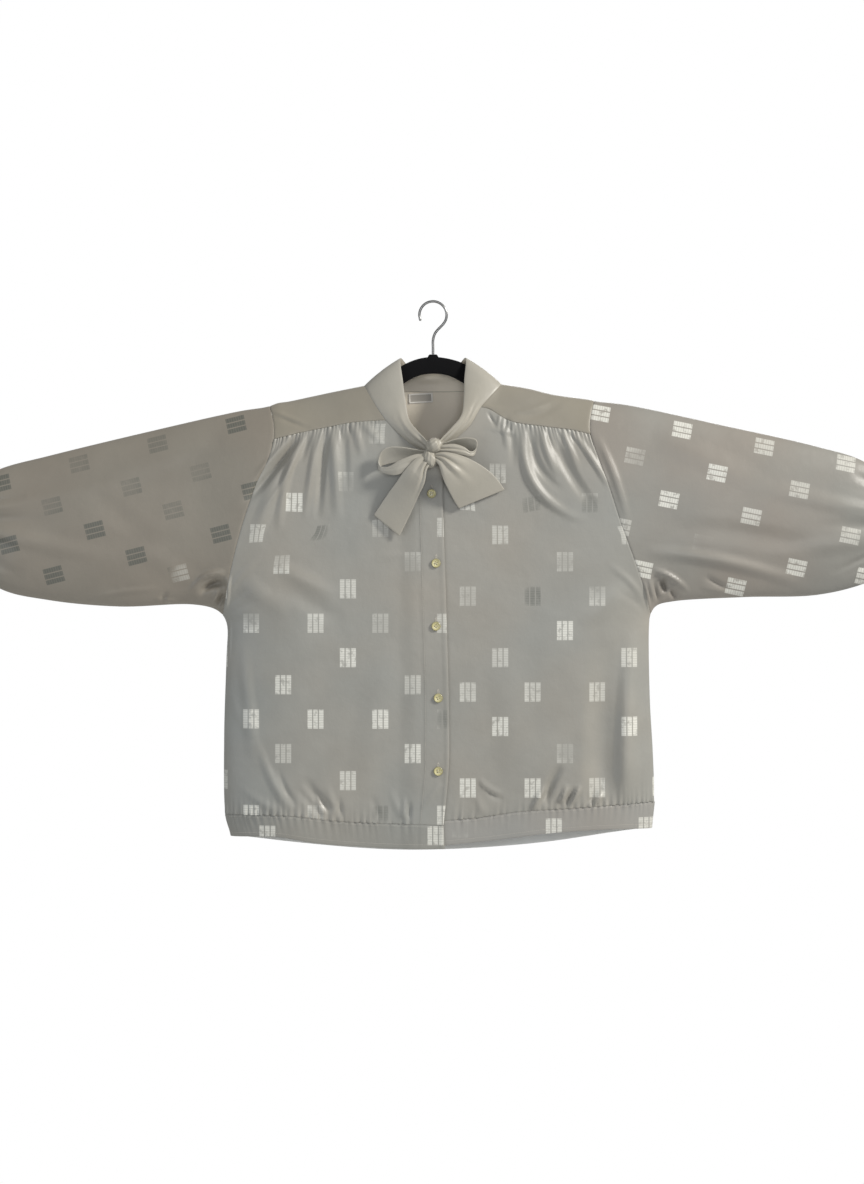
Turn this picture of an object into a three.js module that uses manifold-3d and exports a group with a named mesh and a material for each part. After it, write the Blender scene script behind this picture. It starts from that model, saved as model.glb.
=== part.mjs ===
// Tie neck blouse of grey jacquard satin, hung on a black hanger, in millimetres.
// +Z is up and the front faces -Y. The origin is the inside top of the hook, where it is held.
// Left and right in names are the viewer's, apart from the two fronts, named by the wearer.

import * as THREE from 'three';
import { mergeVertices } from 'three/addons/utils/BufferGeometryUtils.js';
import Module from 'manifold-3d';

const manifold = await Module();
manifold.setup();

// Driving dimensions
const CLOTH = 1.5;
const TIE_CLOTH = 1.8;
const SEAM = 0.4;
const REST = 0.3;
const BODY_DEPTH = 32;
const SLEEVE_DEPTH = 27;
const ROUNDING = 110;
const LAP_LIFT = 2.1;
const LAP_START = -48;
const LAP_FULL = -22;
const OUTLINE_STEP = 7;
const BUTTON_DIAMETER = 12.5;
const BUTTON_THICKNESS = 2.4;
const HANGER_THICKNESS = 6;
const HANGER_BEVEL = 1;
const HANGER_UNDER_RIDGE = 2.4;
const HOOK_WIRE = 3.6;
const HOOK_INNER_RADIUS = 17;

// Tables have named columns: each row becomes an object with those names.
function table(columns, ...rows) {
  return rows.map(row => Object.fromEntries(columns.map((name, i) => [name, row[i]])));
}

// Outlines in the front view, from the neck to the cuff and from the cuff to below the hem
const RIDGE_LEFT = table(['x', 'z'],
  [-94, -115], [-134, -123], [-167, -130], [-200, -137], [-214, -139], [-228, -144],
  [-266, -150], [-399, -180], [-531, -212], [-598, -230], [-646, -255], [-705, -262]);
const RIDGE_RIGHT = table(['x', 'z'],
  [94, -113], [131, -119], [164, -127], [197, -132], [213, -134], [228, -137],
  [264, -141], [396, -169], [529, -199], [593, -219], [644, -258], [702, -268]);
const UNDER_LEFT = table(['x', 'z'],
  [-705, -350], [-646, -353], [-598, -394], [-531, -410], [-432, -419], [-333, -416],
  [-302, -422], [-290, -431], [-284, -445], [-285, -493], [-288, -600], [-286, -708],
  [-279, -735], [-276, -775]);
const UNDER_RIGHT = table(['x', 'z'],
  [702, -362], [644, -364], [593, -388], [529, -403], [429, -406], [330, -412],
  [308, -418], [300, -430], [298, -445], [299, -548], [303, -620], [305, -690],
  [302, -725], [300, -775]);
const NECK_BRIDGE = table(['x', 'z'], [-94, -115], [-62, -82], [0, -60], [62, -82], [94, -113]);

// Seams in the front view
const NECK_LEFT = table(['x', 'z'],
  [-94, -115], [-79, -142], [-64, -164], [-45, -184], [-27, -199], [0, -213], [14, -218]);
const NECK_RIGHT = table(['x', 'z'],
  [94, -113], [77, -132], [65, -146], [50, -171], [31, -189], [0, -212], [-12, -217]);
const NECK_BACK = table(['x', 'z'], [-94, -115], [-60, -119], [0, -121], [60, -119], [94, -113]);
const ARMHOLE_LEFT = table(['x', 'z'],
  [-219, -165], [-218, -190], [-228, -224], [-241, -250], [-261, -308], [-277, -369]);
const ARMHOLE_RIGHT = table(['x', 'z'],
  [217, -155], [215, -178], [225, -213], [239, -250], [258, -308], [284, -378]);
const ARMHOLE_BACK_LEFT = table(['x', 'z'], [-219, -185], [-230, -240], [-252, -320], [-274, -385]);
const ARMHOLE_BACK_RIGHT = table(['x', 'z'], [216, -180], [228, -238], [256, -320], [283, -385]);
const YOKE_SEAM_LEFT = table(['x', 'z'], [-64, -164], [-110, -167], [-142, -173], [-181, -181]);
const YOKE_SEAM_RIGHT = table(['x', 'z'], [65, -146], [75, -148], [106, -165], [148, -172], [189, -177]);
const BACK_SEAM = table(['x', 'z'], [-120, -233], [0, -234], [120, -232]);
const HEM_SEAM_LEFT = table(['x', 'z'], [14, -718], [-60, -716], [-127, -713], [-193, -706], [-253, -705]);
const HEM_SEAM_RIGHT = table(['x', 'z'], [-12, -714], [61, -708], [115, -700], [192, -695], [250, -691]);
const HEM_SEAM_BACK = table(['x', 'z'], [-200, -714], [-70, -724], [60, -723], [200, -706]);
const HEM_EDGE_LEFT = table(['x', 'z'], [16, -750], [-60, -749], [-161, -742], [-215, -734]);
const HEM_EDGE_RIGHT = table(['x', 'z'], [-12, -748], [94, -737], [156, -729], [230, -724]);
const HEM_EDGE_BACK = table(['x', 'z'], [-193, -747], [-70, -757], [22, -757], [156, -747]);

// Heights where the seams meet the sides, and where armholes and cuffs cross the outlines
const LEFT = {
  turn: 1, armholeTop: -225, armpit: -431, yokeEnd: -190, backYokeEnd: -231,
  hemSeam: -705, hemEdge: -735, sleeveEnd: -646, cuffEnd: -703,
};
const RIGHT = {
  turn: -1, armholeTop: 222, armpit: -430, yokeEnd: -183, backYokeEnd: -229,
  hemSeam: -688, hemEdge: -724, sleeveEnd: 644, cuffEnd: 700,
};

// Folds, each a soft ridge or trough from (x, z) to (toX, toZ): bend moves its middle sideways,
// wide is its half width, high its height outwards and peak where along it that is reached.
const FOLD = ['x', 'z', 'toX', 'toZ', 'bend', 'wide', 'high', 'peak'];
const FRONT_FOLDS = table(FOLD,
  [-100, -168, -104, -262, 0, 9, 2.6, 0.3],
  [-117, -169, -124, -290, 0, 10, 3.6, 0.3],
  [-133, -172, -143, -300, 0, 8, -3.2, 0.35],
  [-146, -175, -158, -330, 0, 11, 4.6, 0.3],
  [-159, -177, -176, -300, 0, 8, -2.8, 0.35],
  [-171, -180, -194, -290, 0, 9, 3.2, 0.3],
  [-184, -183, -212, -240, 0, 8, -2.4, 0.4],
  [-181, -184, -236, -246, -5, 13, -4.5, 0.45],
  [-205, -222, -246, -330, 0, 14, 3, 0.5],
  [96, -163, 102, -205, 0, 7, 2.2, 0.35],
  [107, -167, 110, -230, 0, 8, -2.2, 0.3],
  [123, -170, 178, -292, -14, 11, 4.6, 0.35],
  [139, -172, 172, -270, -6, 7, -2.6, 0.3],
  [150, -173, 190, -268, -4, 8, 3.2, 0.3],
  [163, -175, 207, -262, -4, 8, -3, 0.35],
  [175, -177, 222, -268, -3, 8, 3, 0.35],
  [188, -179, 234, -262, -3, 8, -2.6, 0.4],
  [204, -190, 262, -290, -3, 14, 3.6, 0.5],
  [-262, -636, -196, -702, 4, 20, 3.4, 0.6],
  [-232, -640, -166, -700, 4, 18, -2.8, 0.6],
  [140, -696, 236, -640, 6, 22, 3, 0.4],
  [196, -694, 262, -648, 6, 18, -2.4, 0.4],
  [-262, -386, -196, -430, 0, 20, 2.6, 0.3],
  [268, -392, 200, -446, 0, 20, 2.6, 0.3],
  [-60, -470, -96, -680, 0, 34, 1.8, 0.5],
  [92, -450, 120, -670, 0, 36, 1.8, 0.5],
  [-300, -190, -470, -262, 5, 26, 2.6, 0.4],
  [-300, -330, -560, -322, -6, 24, -2.8, 0.5],
  [-312, -396, -420, -330, 0, 20, 3, 0.3],
  [-430, -250, -640, -290, 0, 18, 3.2, 0.8],
  [-450, -350, -640, -312, 0, 18, 3.2, 0.8],
  [-520, -300, -640, -301, 0, 12, -3, 0.8],
  [-560, -384, -642, -334, 0, 14, -2.6, 0.7],
  [300, -186, 460, -262, -5, 26, 2.6, 0.4],
  [300, -330, 560, -330, 6, 24, -2.8, 0.5],
  [318, -394, 430, -330, 0, 20, 3, 0.3],
  [430, -250, 638, -300, 0, 18, 3.2, 0.8],
  [450, -350, 638, -322, 0, 18, 3.2, 0.8],
  [520, -306, 638, -311, 0, 12, -3, 0.8],
  [560, -380, 640, -342, 0, 14, -2.6, 0.7]);
const BACK_FOLDS = table(FOLD,
  [-170, -238, -186, -420, 0, 26, 3.4, 0.4],
  [-110, -240, -118, -470, 0, 24, -2.8, 0.4],
  [-40, -240, -30, -520, 0, 30, 2.6, 0.4],
  [60, -240, 74, -500, 0, 28, -2.6, 0.4],
  [140, -238, 156, -440, 0, 26, 3.4, 0.4],
  [-250, -600, -150, -700, 0, 26, 3, 0.6],
  [160, -690, 260, -610, 0, 26, 3, 0.4],
  [-300, -200, -520, -290, 5, 28, 2.8, 0.5],
  [-320, -380, -560, -330, 0, 26, 3, 0.5],
  [-470, -270, -640, -295, 0, 18, -3, 0.8],
  [300, -200, 520, -290, -5, 28, 2.8, 0.5],
  [320, -380, 560, -335, 0, 26, 3, 0.5],
  [470, -275, 638, -305, 0, 18, -3, 0.8]);

// Front buttons, and the top edge of the collar over its share of the neck seam
const BUTTONS = table(['x', 'z'], [-2, -265], [4, -360], [4, -446], [7, -544], [7, -644]);
const COLLAR_TOP = table(['share', 'x', 'y', 'z'],
  [0, -3, -47, -200], [0.03, -12, -43, -190], [0.08, -22, -39, -179], [0.13, -31, -33, -166],
  [0.2, -36, -25, -143], [0.25, -41, -14, -112], [0.3, -44, -2, -79], [0.37, -35, 11, -78],
  [0.5, 0, 15, -80], [0.63, 35, 11, -78], [0.7, 44, -2, -78], [0.75, 43, -14, -108],
  [0.8, 42, -24, -134], [0.87, 39, -33, -160], [0.92, 24, -39, -177], [0.97, 12, -43, -190],
  [1, 4, -47, -200]);
const COLLAR_BULGE = 2.5;

// The tie: edges of its loops and tails from the knot outwards
const EDGES = ['x', 'y', 'z', 'toX', 'toY', 'toZ', 'crown'];
const LOOP_LEFT = table(EDGES,
  [-4, -48, -206, -4, -48, -215, 0], [-17, -49.5, -207, -16, -49.5, -217, 0.5],
  [-36, -50.5, -209, -33, -50, -232, 1.5], [-58, -50, -210, -52, -49, -239, 2],
  [-71, -47, -211, -68, -46.5, -234, 1], [-73, -44, -209, -71, -43.5, -230, 0],
  [-62, -41, -204, -60, -40.5, -230, -0.5], [-40, -40.2, -203, -38, -40, -224, -0.5],
  [-17, -43, -205, -16, -42.5, -213, 0], [-4, -45, -207, -4, -45, -213, 0]);
const LOOP_RIGHT = table(EDGES,
  [4, -48, -202, 4, -48, -209, 0], [15, -48.5, -203, 15, -48.5, -210, 0.5],
  [34, -49, -205, 32, -49, -214, 0.8], [50, -48.5, -205, 47, -48, -216, 0.8],
  [59, -46, -198, 55, -45.5, -214, 0.4], [60, -43, -195, 57, -42.5, -212, 0],
  [52, -40.6, -192, 50, -40.4, -211, -0.4], [34, -40, -194, 33, -40, -209, -0.4],
  [16, -42.5, -198, 16, -42.5, -206, 0], [4, -44.5, -201, 4, -44.5, -206, 0]);
const TAIL_LEFT = table(EDGES,
  [-6, -51, -214, -2, -52, -222, 0], [-20, -54, -217, -9, -55, -233, 1.5],
  [-34, -55, -230, -12, -54, -250, 2.5], [-49, -49, -250, -21, -49, -270, 1.5],
  [-65, -42, -272, -33, -43, -296, 1], [-80, -36, -294, -46, -38.5, -322, 0.5]);
const TAIL_RIGHT = table(EDGES,
  [1, -52, -219, 4, -51, -211, 0], [8, -54.5, -226, 17, -53.5, -210, 1.5],
  [15, -53, -247, 42, -53, -216, 3], [25, -47, -267, 70, -47.5, -231, 2],
  [30, -42, -276, 85, -42, -244, 1.2], [35.6, -38.5, -284.5, 96.6, -37, -259.4, 0.5]);
const KNOT_LOBES = table(['x', 'y', 'z', 'wide', 'deep', 'high', 'tilt'],
  [1.5, -49, -200, 10.5, 11, 10, 0.3], [-4.5, -48, -218, 9.5, 10, 13, -0.25]);
const KNOT_CLEAR = 0.35;

const LABEL = { x: -17, z: -130, wide: 33, high: 13, tilt: 0.05, thickness: 0.8 };

// Hanger outline points under the collar and at the neck, seen from the front
const HANGER_ARC_TOP = table(['x', 'z'], [-80, -116], [-62, -102], [-41, -87], [-20, -78], [0, -75], [22, -78], [44, -86], [63, -101], [80, -115]);
const HANGER_ARC_BOTTOM = table(['x', 'z'], [66, -127], [43, -111], [22, -100], [0, -97], [-20, -100], [-41, -111], [-66, -128]);
const HANGER_ARM_HEIGHT = 20;
const HANGER_TIP_HEIGHT = 12;
const HANGER_TIP = 213;
const ARM_START = 98;
const BOSS = { wide: 15, top: -72 };

const satin = new THREE.MeshStandardMaterial({ color: 0x9a9d98, roughness: 0.42, metalness: 0 });
const satinBand = new THREE.MeshStandardMaterial({ color: 0x94979a, roughness: 0.42, metalness: 0 });
const pearl = new THREE.MeshStandardMaterial({ color: 0xd8d3a8, roughness: 0.25, metalness: 0 });
const labelCloth = new THREE.MeshStandardMaterial({ color: 0xe4e0d6, roughness: 0.7, metalness: 0 });
const velvet = new THREE.MeshStandardMaterial({ color: 0x0b0b0c, roughness: 0.95, metalness: 0 });
const steel = new THREE.MeshStandardMaterial({ color: 0xb9bcc0, roughness: 0.3, metalness: 1 });

const blouse = new THREE.Group();

function addPiece(name, geometry, material) {
  const mesh = new THREE.Mesh(geometry, material);
  mesh.name = name;
  blouse.add(mesh);
  return mesh;
}

// Outlines and seams: smooth lines in the front view
class Line {
  constructor(points, turn = 1, steps = 0) {
    const knots = points.map(p => new THREE.Vector3(p.x, 0, p.z));
    const curve = new THREE.CatmullRomCurve3(knots, false, 'centripetal');
    this.points = curve.getSpacedPoints(steps || Math.max(4, Math.round(curve.getLength() / OUTLINE_STEP)));
    this.turn = turn;
    this.lengths = [0];
    for (let i = 1; i < this.points.length; i++) {
      this.lengths.push(this.lengths[i - 1] + this.points[i].distanceTo(this.points[i - 1]));
    }
  }

  get length() {
    return this.lengths[this.lengths.length - 1];
  }

  at(along) {
    const distance = THREE.MathUtils.clamp(along, 0, 1) * this.length;
    let i = 1;
    while (i < this.lengths.length - 1 && this.lengths[i] < distance) i++;
    const part = (distance - this.lengths[i - 1]) / (this.lengths[i] - this.lengths[i - 1]);
    return this.points[i - 1].clone().lerp(this.points[i], part);
  }

  // Where the line first crosses a given x or z, as a share of its length
  shareAt(axis, value, from = 0) {
    for (let i = 1; i < this.points.length; i++) {
      const a = this.points[i - 1][axis] - value;
      const b = this.points[i][axis] - value;
      const share = (this.lengths[i - 1] + (this.lengths[i] - this.lengths[i - 1]) * (a / (a - b))) / this.length;
      if (a * b <= 0 && a !== b && share >= from) return share;
    }
    throw new Error(`no point of the line at ${axis} = ${value}`);
  }

  // Points between two shares, spread by the given fractions
  span(from, to, fractions) {
    return fractions.map(f => this.at(from + (to - from) * f));
  }

  nearest(x, z) {
    let best = { distance: Infinity, i: 1 };
    for (let i = 1; i < this.points.length; i++) {
      const a = this.points[i - 1];
      const b = this.points[i];
      const dx = b.x - a.x;
      const dz = b.z - a.z;
      const part = THREE.MathUtils.clamp(((x - a.x) * dx + (z - a.z) * dz) / (dx * dx + dz * dz), 0, 1);
      const distance = Math.hypot(x - a.x - dx * part, z - a.z - dz * part);
      if (distance < best.distance) best = { distance, i };
    }
    return best;
  }

  // Direction out of the cloth at a point of the line
  outwardAt(i) {
    const a = this.points[Math.max(0, i - 2)];
    const b = this.points[Math.min(this.points.length - 1, i + 1)];
    return new THREE.Vector3((b.z - a.z) * this.turn, 0, (a.x - b.x) * this.turn).normalize();
  }
}

const ridges = [new Line(RIDGE_LEFT, LEFT.turn), new Line(RIDGE_RIGHT, RIGHT.turn)];
const unders = [new Line(UNDER_LEFT, LEFT.turn), new Line(UNDER_RIGHT, RIGHT.turn)];
const neckBridge = new Line(NECK_BRIDGE, -1);

// The form of the hollow: its depth grows from the outline as a quarter of an ellipse
function rounded(distance) {
  const part = 1 - Math.min(distance / ROUNDING, 1);
  return Math.sqrt(1 - part * part);
}

function smooth(value, from, to) {
  return THREE.MathUtils.smoothstep(value, from, to);
}

function foldRelief(x, z, folds) {
  let height = 0;
  for (const fold of folds) {
    const dx = fold.toX - fold.x;
    const dz = fold.toZ - fold.z;
    const length = Math.hypot(dx, dz);
    const along = ((x - fold.x) * dx + (z - fold.z) * dz) / (length * length);
    if (along <= 0 || along >= 1) continue;
    const sideways = ((x - fold.x) * dz - (z - fold.z) * dx) / length - fold.bend * 4 * along * (1 - along);
    if (Math.abs(sideways) >= fold.wide) continue;
    const across = (1 + Math.cos((Math.PI * sideways) / fold.wide)) / 2;
    const rise = along < fold.peak ? along / fold.peak : (1 - along) / (1 - fold.peak);
    height += fold.high * across * Math.sin((rise * Math.PI) / 2);
  }
  return height;
}

function depth(x, z, face) {
  const top = Math.min(...ridges.map(line => line.nearest(x, z).distance), neckBridge.nearest(x, z).distance);
  const sides = unders.map(line => line.nearest(x, z).distance);
  const full = THREE.MathUtils.lerp(BODY_DEPTH, SLEEVE_DEPTH, smooth(Math.abs(x), 230, 330));
  const form = rounded(top) * rounded(sides[0]) * rounded(sides[1]);
  const folds = face.front ? FRONT_FOLDS : BACK_FOLDS;
  const lap = face.lapped ? LAP_LIFT * smooth(x, LAP_START, LAP_FULL) : 0;
  return full * form + form * foldRelief(x, z, folds) + lap;
}

const FRONT = { front: true, sign: -1 };
const LAPPED_FRONT = { front: true, lapped: true, sign: -1 };
const BACK = { front: false, sign: 1 };

function outward(x, z, face) {
  for (const line of [...ridges, ...unders]) {
    const { distance, i } = line.nearest(x, z);
    if (distance < 0.3) return line.outwardAt(i);
  }
  const step = 0.15;
  const slopeX = (depth(x + step, z, face) - depth(x - step, z, face)) / (2 * step);
  const slopeZ = (depth(x, z + step, face) - depth(x, z - step, face)) / (2 * step);
  return new THREE.Vector3(-slopeX, face.sign, -slopeZ).normalize();
}

function onCloth(point, face) {
  return new THREE.Vector3(point.x, face.sign * depth(point.x, point.z, face), point.z);
}

// Rows of points between four edges in the front view, by blending the edges
function patch(first, last, left, right) {
  const lengthShares = edge => {
    const sums = [0];
    for (let i = 1; i < edge.length; i++) sums.push(sums[i - 1] + edge[i].distanceTo(edge[i - 1]));
    return sums.map(sum => sum / sums[sums.length - 1]);
  };
  const mean = (a, b) => a.map((value, i) => (value + b[i]) / 2);
  const us = mean(lengthShares(first), lengthShares(last));
  const vs = mean(lengthShares(left), lengthShares(right));
  const corner = { a: first[0], b: first[first.length - 1], c: last[0], d: last[last.length - 1] };
  return vs.map((v, r) => us.map((u, c) => new THREE.Vector3()
    .addScaledVector(first[c], 1 - v).addScaledVector(last[c], v)
    .addScaledVector(left[r], 1 - u).addScaledVector(right[r], u)
    .addScaledVector(corner.a, -(1 - u) * (1 - v)).addScaledVector(corner.b, -u * (1 - v))
    .addScaledVector(corner.c, -(1 - u) * v).addScaledVector(corner.d, -u * v)));
}

// Puts a flat patch on the cloth's form, with the direction out of the cloth at each point
function drape(rows, face) {
  return rows.map(row => row.map(point => ({
    at: onCloth(point, face), out: outward(point.x, point.z, face),
  })));
}

// Draws the named edges of a grid back from its seams by half the seam's gap
function seamed(grid, edges) {
  const moved = grid.map(row => row.map(cell => ({ at: cell.at.clone(), out: cell.out })));
  const pull = (r, c, inR, inC) => {
    const step = grid[inR][inC].at.clone().sub(grid[r][c].at).normalize();
    moved[r][c].at.addScaledVector(step, SEAM / 2);
  };
  const lastRow = grid.length - 1;
  const lastColumn = grid[0].length - 1;
  for (let c = 0; c <= lastColumn; c++) {
    if (edges.first) pull(0, c, 1, c);
    if (edges.last) pull(lastRow, c, lastRow - 1, c);
  }
  for (let r = 0; r <= lastRow; r++) {
    if (edges.left) pull(r, 0, r, 1);
    if (edges.right) pull(r, lastColumn, r, lastColumn - 1);
  }
  return moved;
}

// A closed wall over a grid of points; round joins its last column to its first
function wall(grid, thickness, round = false) {
  const rows = grid.length;
  const columns = grid[0].length;
  const positions = [];
  for (const side of [0.5, -0.5]) {
    for (const row of grid) {
      for (const cell of row) positions.push(...cell.at.clone().addScaledVector(cell.out, side * thickness));
    }
  }
  const inner = rows * columns;
  const id = (r, c) => r * columns + (c % columns);
  const triangles = [];
  const quad = (a, b, c, d) => triangles.push(a, b, c, a, c, d);
  const spans = round ? columns : columns - 1;
  for (let r = 0; r < rows - 1; r++) {
    for (let c = 0; c < spans; c++) {
      quad(id(r, c), id(r + 1, c), id(r + 1, c + 1), id(r, c + 1));
      quad(inner + id(r, c), inner + id(r, c + 1), inner + id(r + 1, c + 1), inner + id(r + 1, c));
    }
  }
  for (let c = 0; c < spans; c++) {
    quad(id(0, c), id(0, c + 1), inner + id(0, c + 1), inner + id(0, c));
    quad(id(rows - 1, c + 1), id(rows - 1, c), inner + id(rows - 1, c), inner + id(rows - 1, c + 1));
  }
  for (let r = 0; r < rows - 1 && !round; r++) {
    quad(id(r + 1, 0), id(r, 0), inner + id(r, 0), inner + id(r + 1, 0));
    quad(id(r, columns - 1), id(r + 1, columns - 1), inner + id(r + 1, columns - 1), inner + id(r, columns - 1));
  }
  return closedGeometry(positions, triangles);
}

// A geometry whose faces point out, whichever way its triangles were listed
function closedGeometry(positions, triangles) {
  const corner = i => new THREE.Vector3().fromArray(positions, 3 * i);
  let volume = 0;
  for (let i = 0; i < triangles.length; i += 3) {
    const [a, b, c] = [0, 1, 2].map(k => corner(triangles[i + k]));
    volume += a.dot(b.cross(c));
  }
  const index = [...triangles];
  for (let i = 0; volume < 0 && i < index.length; i += 3) {
    [index[i + 1], index[i + 2]] = [index[i + 2], index[i + 1]];
  }
  const geometry = new THREE.BufferGeometry();
  geometry.setAttribute('position', new THREE.Float32BufferAttribute(positions, 3));
  geometry.setIndex(index);
  return geometry;
}

function toSolid(geometry) {
  const bare = geometry.clone();
  bare.deleteAttribute('normal');
  bare.deleteAttribute('uv');
  const merged = mergeVertices(bare, 1e-4);
  return new manifold.Manifold(new manifold.Mesh({
    numProp: 3,
    vertProperties: new Float32Array(merged.attributes.position.array),
    triVerts: new Uint32Array(merged.index.array),
  }));
}

function fromSolid(solid) {
  const mesh = solid.getMesh();
  const geometry = new THREE.BufferGeometry();
  geometry.setAttribute('position', new THREE.BufferAttribute(mesh.vertProperties, 3));
  geometry.setIndex(new THREE.BufferAttribute(mesh.triVerts, 1));
  return geometry;
}

// Fractions from 0 to 1: even, or crowded towards the start, the end or both
const even = count => Array.from({ length: count + 1 }, (_, i) => i / count);
const crowdedEnd = count => even(count).map(f => Math.sin((f * Math.PI) / 2));
const crowdedStart = count => even(count).map(f => 1 - Math.cos((f * Math.PI) / 2));
const eased = (count, power) => even(count).map(f => 1 - (1 - f) ** power);

// Joins lists of points that meet end to end
function joined(...lists) {
  return lists.flatMap((list, i) => (i ? list.slice(1) : list));
}

// Counts of steps along the seams
const YOKE_ACROSS = 7;
const YOKE_FRONT_STEPS = 5;
const YOKE_BACK_STEPS = 6;
const YOKE_MIDDLE_STEPS = 5;
const NECK_STEPS = 6;
const COLLAR_ATTACHED = 14;
const GATHER_STEPS = 20;
const ARMHOLE_STEPS = 8;
const SIDE_STEPS = 7;
const SLEEVE_RINGS = [0, 0.1, 0.22, 0.36, 0.51, 0.66, 0.8, 0.91, 1];

// Seam lines of one side of the blouse, with the points that its pieces share
function buildSide(side, ridge, under, seams) {
  const armholeTop = ridge.at(ridge.shareAt('x', side.armholeTop));
  const armpitShare = under.shareAt('z', side.armpit, under.shareAt('x', side.armholeTop * 1.4));
  const armpit = under.at(armpitShare);
  const armhole = new Line([armholeTop, ...seams.armhole, armpit]);
  const armholeBack = new Line([armholeTop, ...seams.armholeBack, armpit]);
  const yokeShare = armhole.shareAt('z', side.yokeEnd);
  const backShare = armholeBack.shareAt('z', side.backYokeEnd);
  const hemSeamShare = under.shareAt('z', side.hemSeam, armpitShare);
  const neck = new Line(seams.neck);
  const yokeStart = neck.shareAt('x', seams.yoke[0].x);
  const yokeSeam = new Line([neck.at(yokeStart), ...seams.yoke.slice(1), armhole.at(yokeShare)], 1, YOKE_ACROSS);
  const attached = neck.shareAt('x', Math.sign(side.armholeTop) * COLLAR_ATTACHED);
  const sleeveEndRidge = ridge.shareAt('x', side.sleeveEnd);
  const sleeveEndUnder = under.shareAt('x', side.sleeveEnd);
  return {
    under, neck, yokeSeam, yokeStart, armpitShare, hemSeamShare,
    neckFront: joined(neck.span(1, attached, [0, 1]), neck.span(attached, yokeStart, even(NECK_STEPS - 1))),
    armholeFront: joined(
      armhole.span(yokeShare, 0, crowdedEnd(YOKE_FRONT_STEPS)).reverse(),
      armhole.span(yokeShare, 1, eased(ARMHOLE_STEPS, 1.35))),
    armholeBack: joined(
      armholeBack.span(0, backShare, crowdedStart(YOKE_BACK_STEPS)),
      armholeBack.span(backShare, 1, eased(ARMHOLE_STEPS - 1, 1.35))),
    shoulder: ridge.span(0, ridge.shareAt('x', side.armholeTop), even(YOKE_ACROSS)),
    sleeveRidge: ridge.span(ridge.shareAt('x', side.armholeTop), sleeveEndRidge, SLEEVE_RINGS),
    sleeveUnder: under.span(armpitShare, sleeveEndUnder, SLEEVE_RINGS),
    cuffRidge: ridge.span(sleeveEndRidge, ridge.shareAt('x', side.cuffEnd), even(2)),
    cuffUnder: under.span(sleeveEndUnder, under.shareAt('x', side.cuffEnd), even(2)),
    sideFront: under.span(armpitShare, hemSeamShare, even(SIDE_STEPS)),
    hemEdgeShare: under.shareAt('z', side.hemEdge, armpitShare),
  };
}

const left = buildSide(LEFT, ridges[0], unders[0], {
  armhole: ARMHOLE_LEFT, armholeBack: ARMHOLE_BACK_LEFT, neck: NECK_LEFT, yoke: YOKE_SEAM_LEFT,
});
const right = buildSide(RIGHT, ridges[1], unders[1], {
  armhole: ARMHOLE_RIGHT, armholeBack: ARMHOLE_BACK_RIGHT, neck: NECK_RIGHT, yoke: YOKE_SEAM_RIGHT,
});

// The two fronts, gathered under the yoke seam and lapped at the centre
const GATHER_FRACTIONS = joined(
  [0, 0.09, 0.18], even(GATHER_STEPS).map(f => 0.18 + 0.6 * f), [0.78, 0.83, 0.88, 0.94, 1]);
const HEM_FRACTIONS = joined(
  even(NECK_STEPS).map(f => 0.17 * f), [0.17, 0.2, 0.23],
  even(GATHER_STEPS).map(f => 0.23 + 0.64 * f), [0.87, 0.925, 0.965, 0.99, 1]);

function frontGrid(side, face, hemSeam) {
  const top = joined(side.neckFront, side.yokeSeam.span(0, 1, GATHER_FRACTIONS));
  const bottom = hemSeam.span(0, 1, HEM_FRACTIONS);
  const outer = joined(side.armholeFront.slice(YOKE_FRONT_STEPS), side.sideFront);
  const drop = outer.map(point => (point.z - outer[0].z) / (outer[outer.length - 1].z - outer[0].z));
  const centre = drop.map(f => top[0].clone().lerp(bottom[0], f));
  return drape(patch(top, bottom, centre, outer), face);
}

function hemLine(points, side) {
  return new Line([...points, side.under.at(side.hemSeamShare)]);
}

function hemEdgeLine(points, side) {
  return new Line([...points, side.under.at(side.hemEdgeShare)]);
}

const hemSeamLeft = hemLine(HEM_SEAM_LEFT, left);
const hemSeamRight = hemLine(HEM_SEAM_RIGHT, right);
const frontEdges = { first: true, last: true, right: true };
const rightFront = frontGrid(left, LAPPED_FRONT, hemSeamLeft);
const leftFront = frontGrid(right, FRONT, hemSeamRight);
addPiece('front_right', wall(seamed(rightFront, frontEdges), CLOTH), satin);
addPiece('front_left', wall(seamed(leftFront, frontEdges), CLOTH), satin);

// Hem bands under the two fronts
function hemBand(seam, edge, side, face) {
  const top = seam.span(0, 1, HEM_FRACTIONS);
  const bottom = edge.span(0, 1, HEM_FRACTIONS);
  const outer = side.under.span(side.hemSeamShare, side.hemEdgeShare, [0, 1]);
  return drape(patch(top, bottom, [top[0], bottom[0]], outer), face);
}

const bandEdges = { first: true, right: true };
const bandLeft = hemBand(hemSeamLeft, hemEdgeLine(HEM_EDGE_LEFT, left), left, LAPPED_FRONT);
const bandRight = hemBand(hemSeamRight, hemEdgeLine(HEM_EDGE_RIGHT, right), right, FRONT);
addPiece('hem_band_front_right', wall(seamed(bandLeft, bandEdges), CLOTH), satinBand);
addPiece('hem_band_front_left', wall(seamed(bandRight, bandEdges), CLOTH), satinBand);

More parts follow.
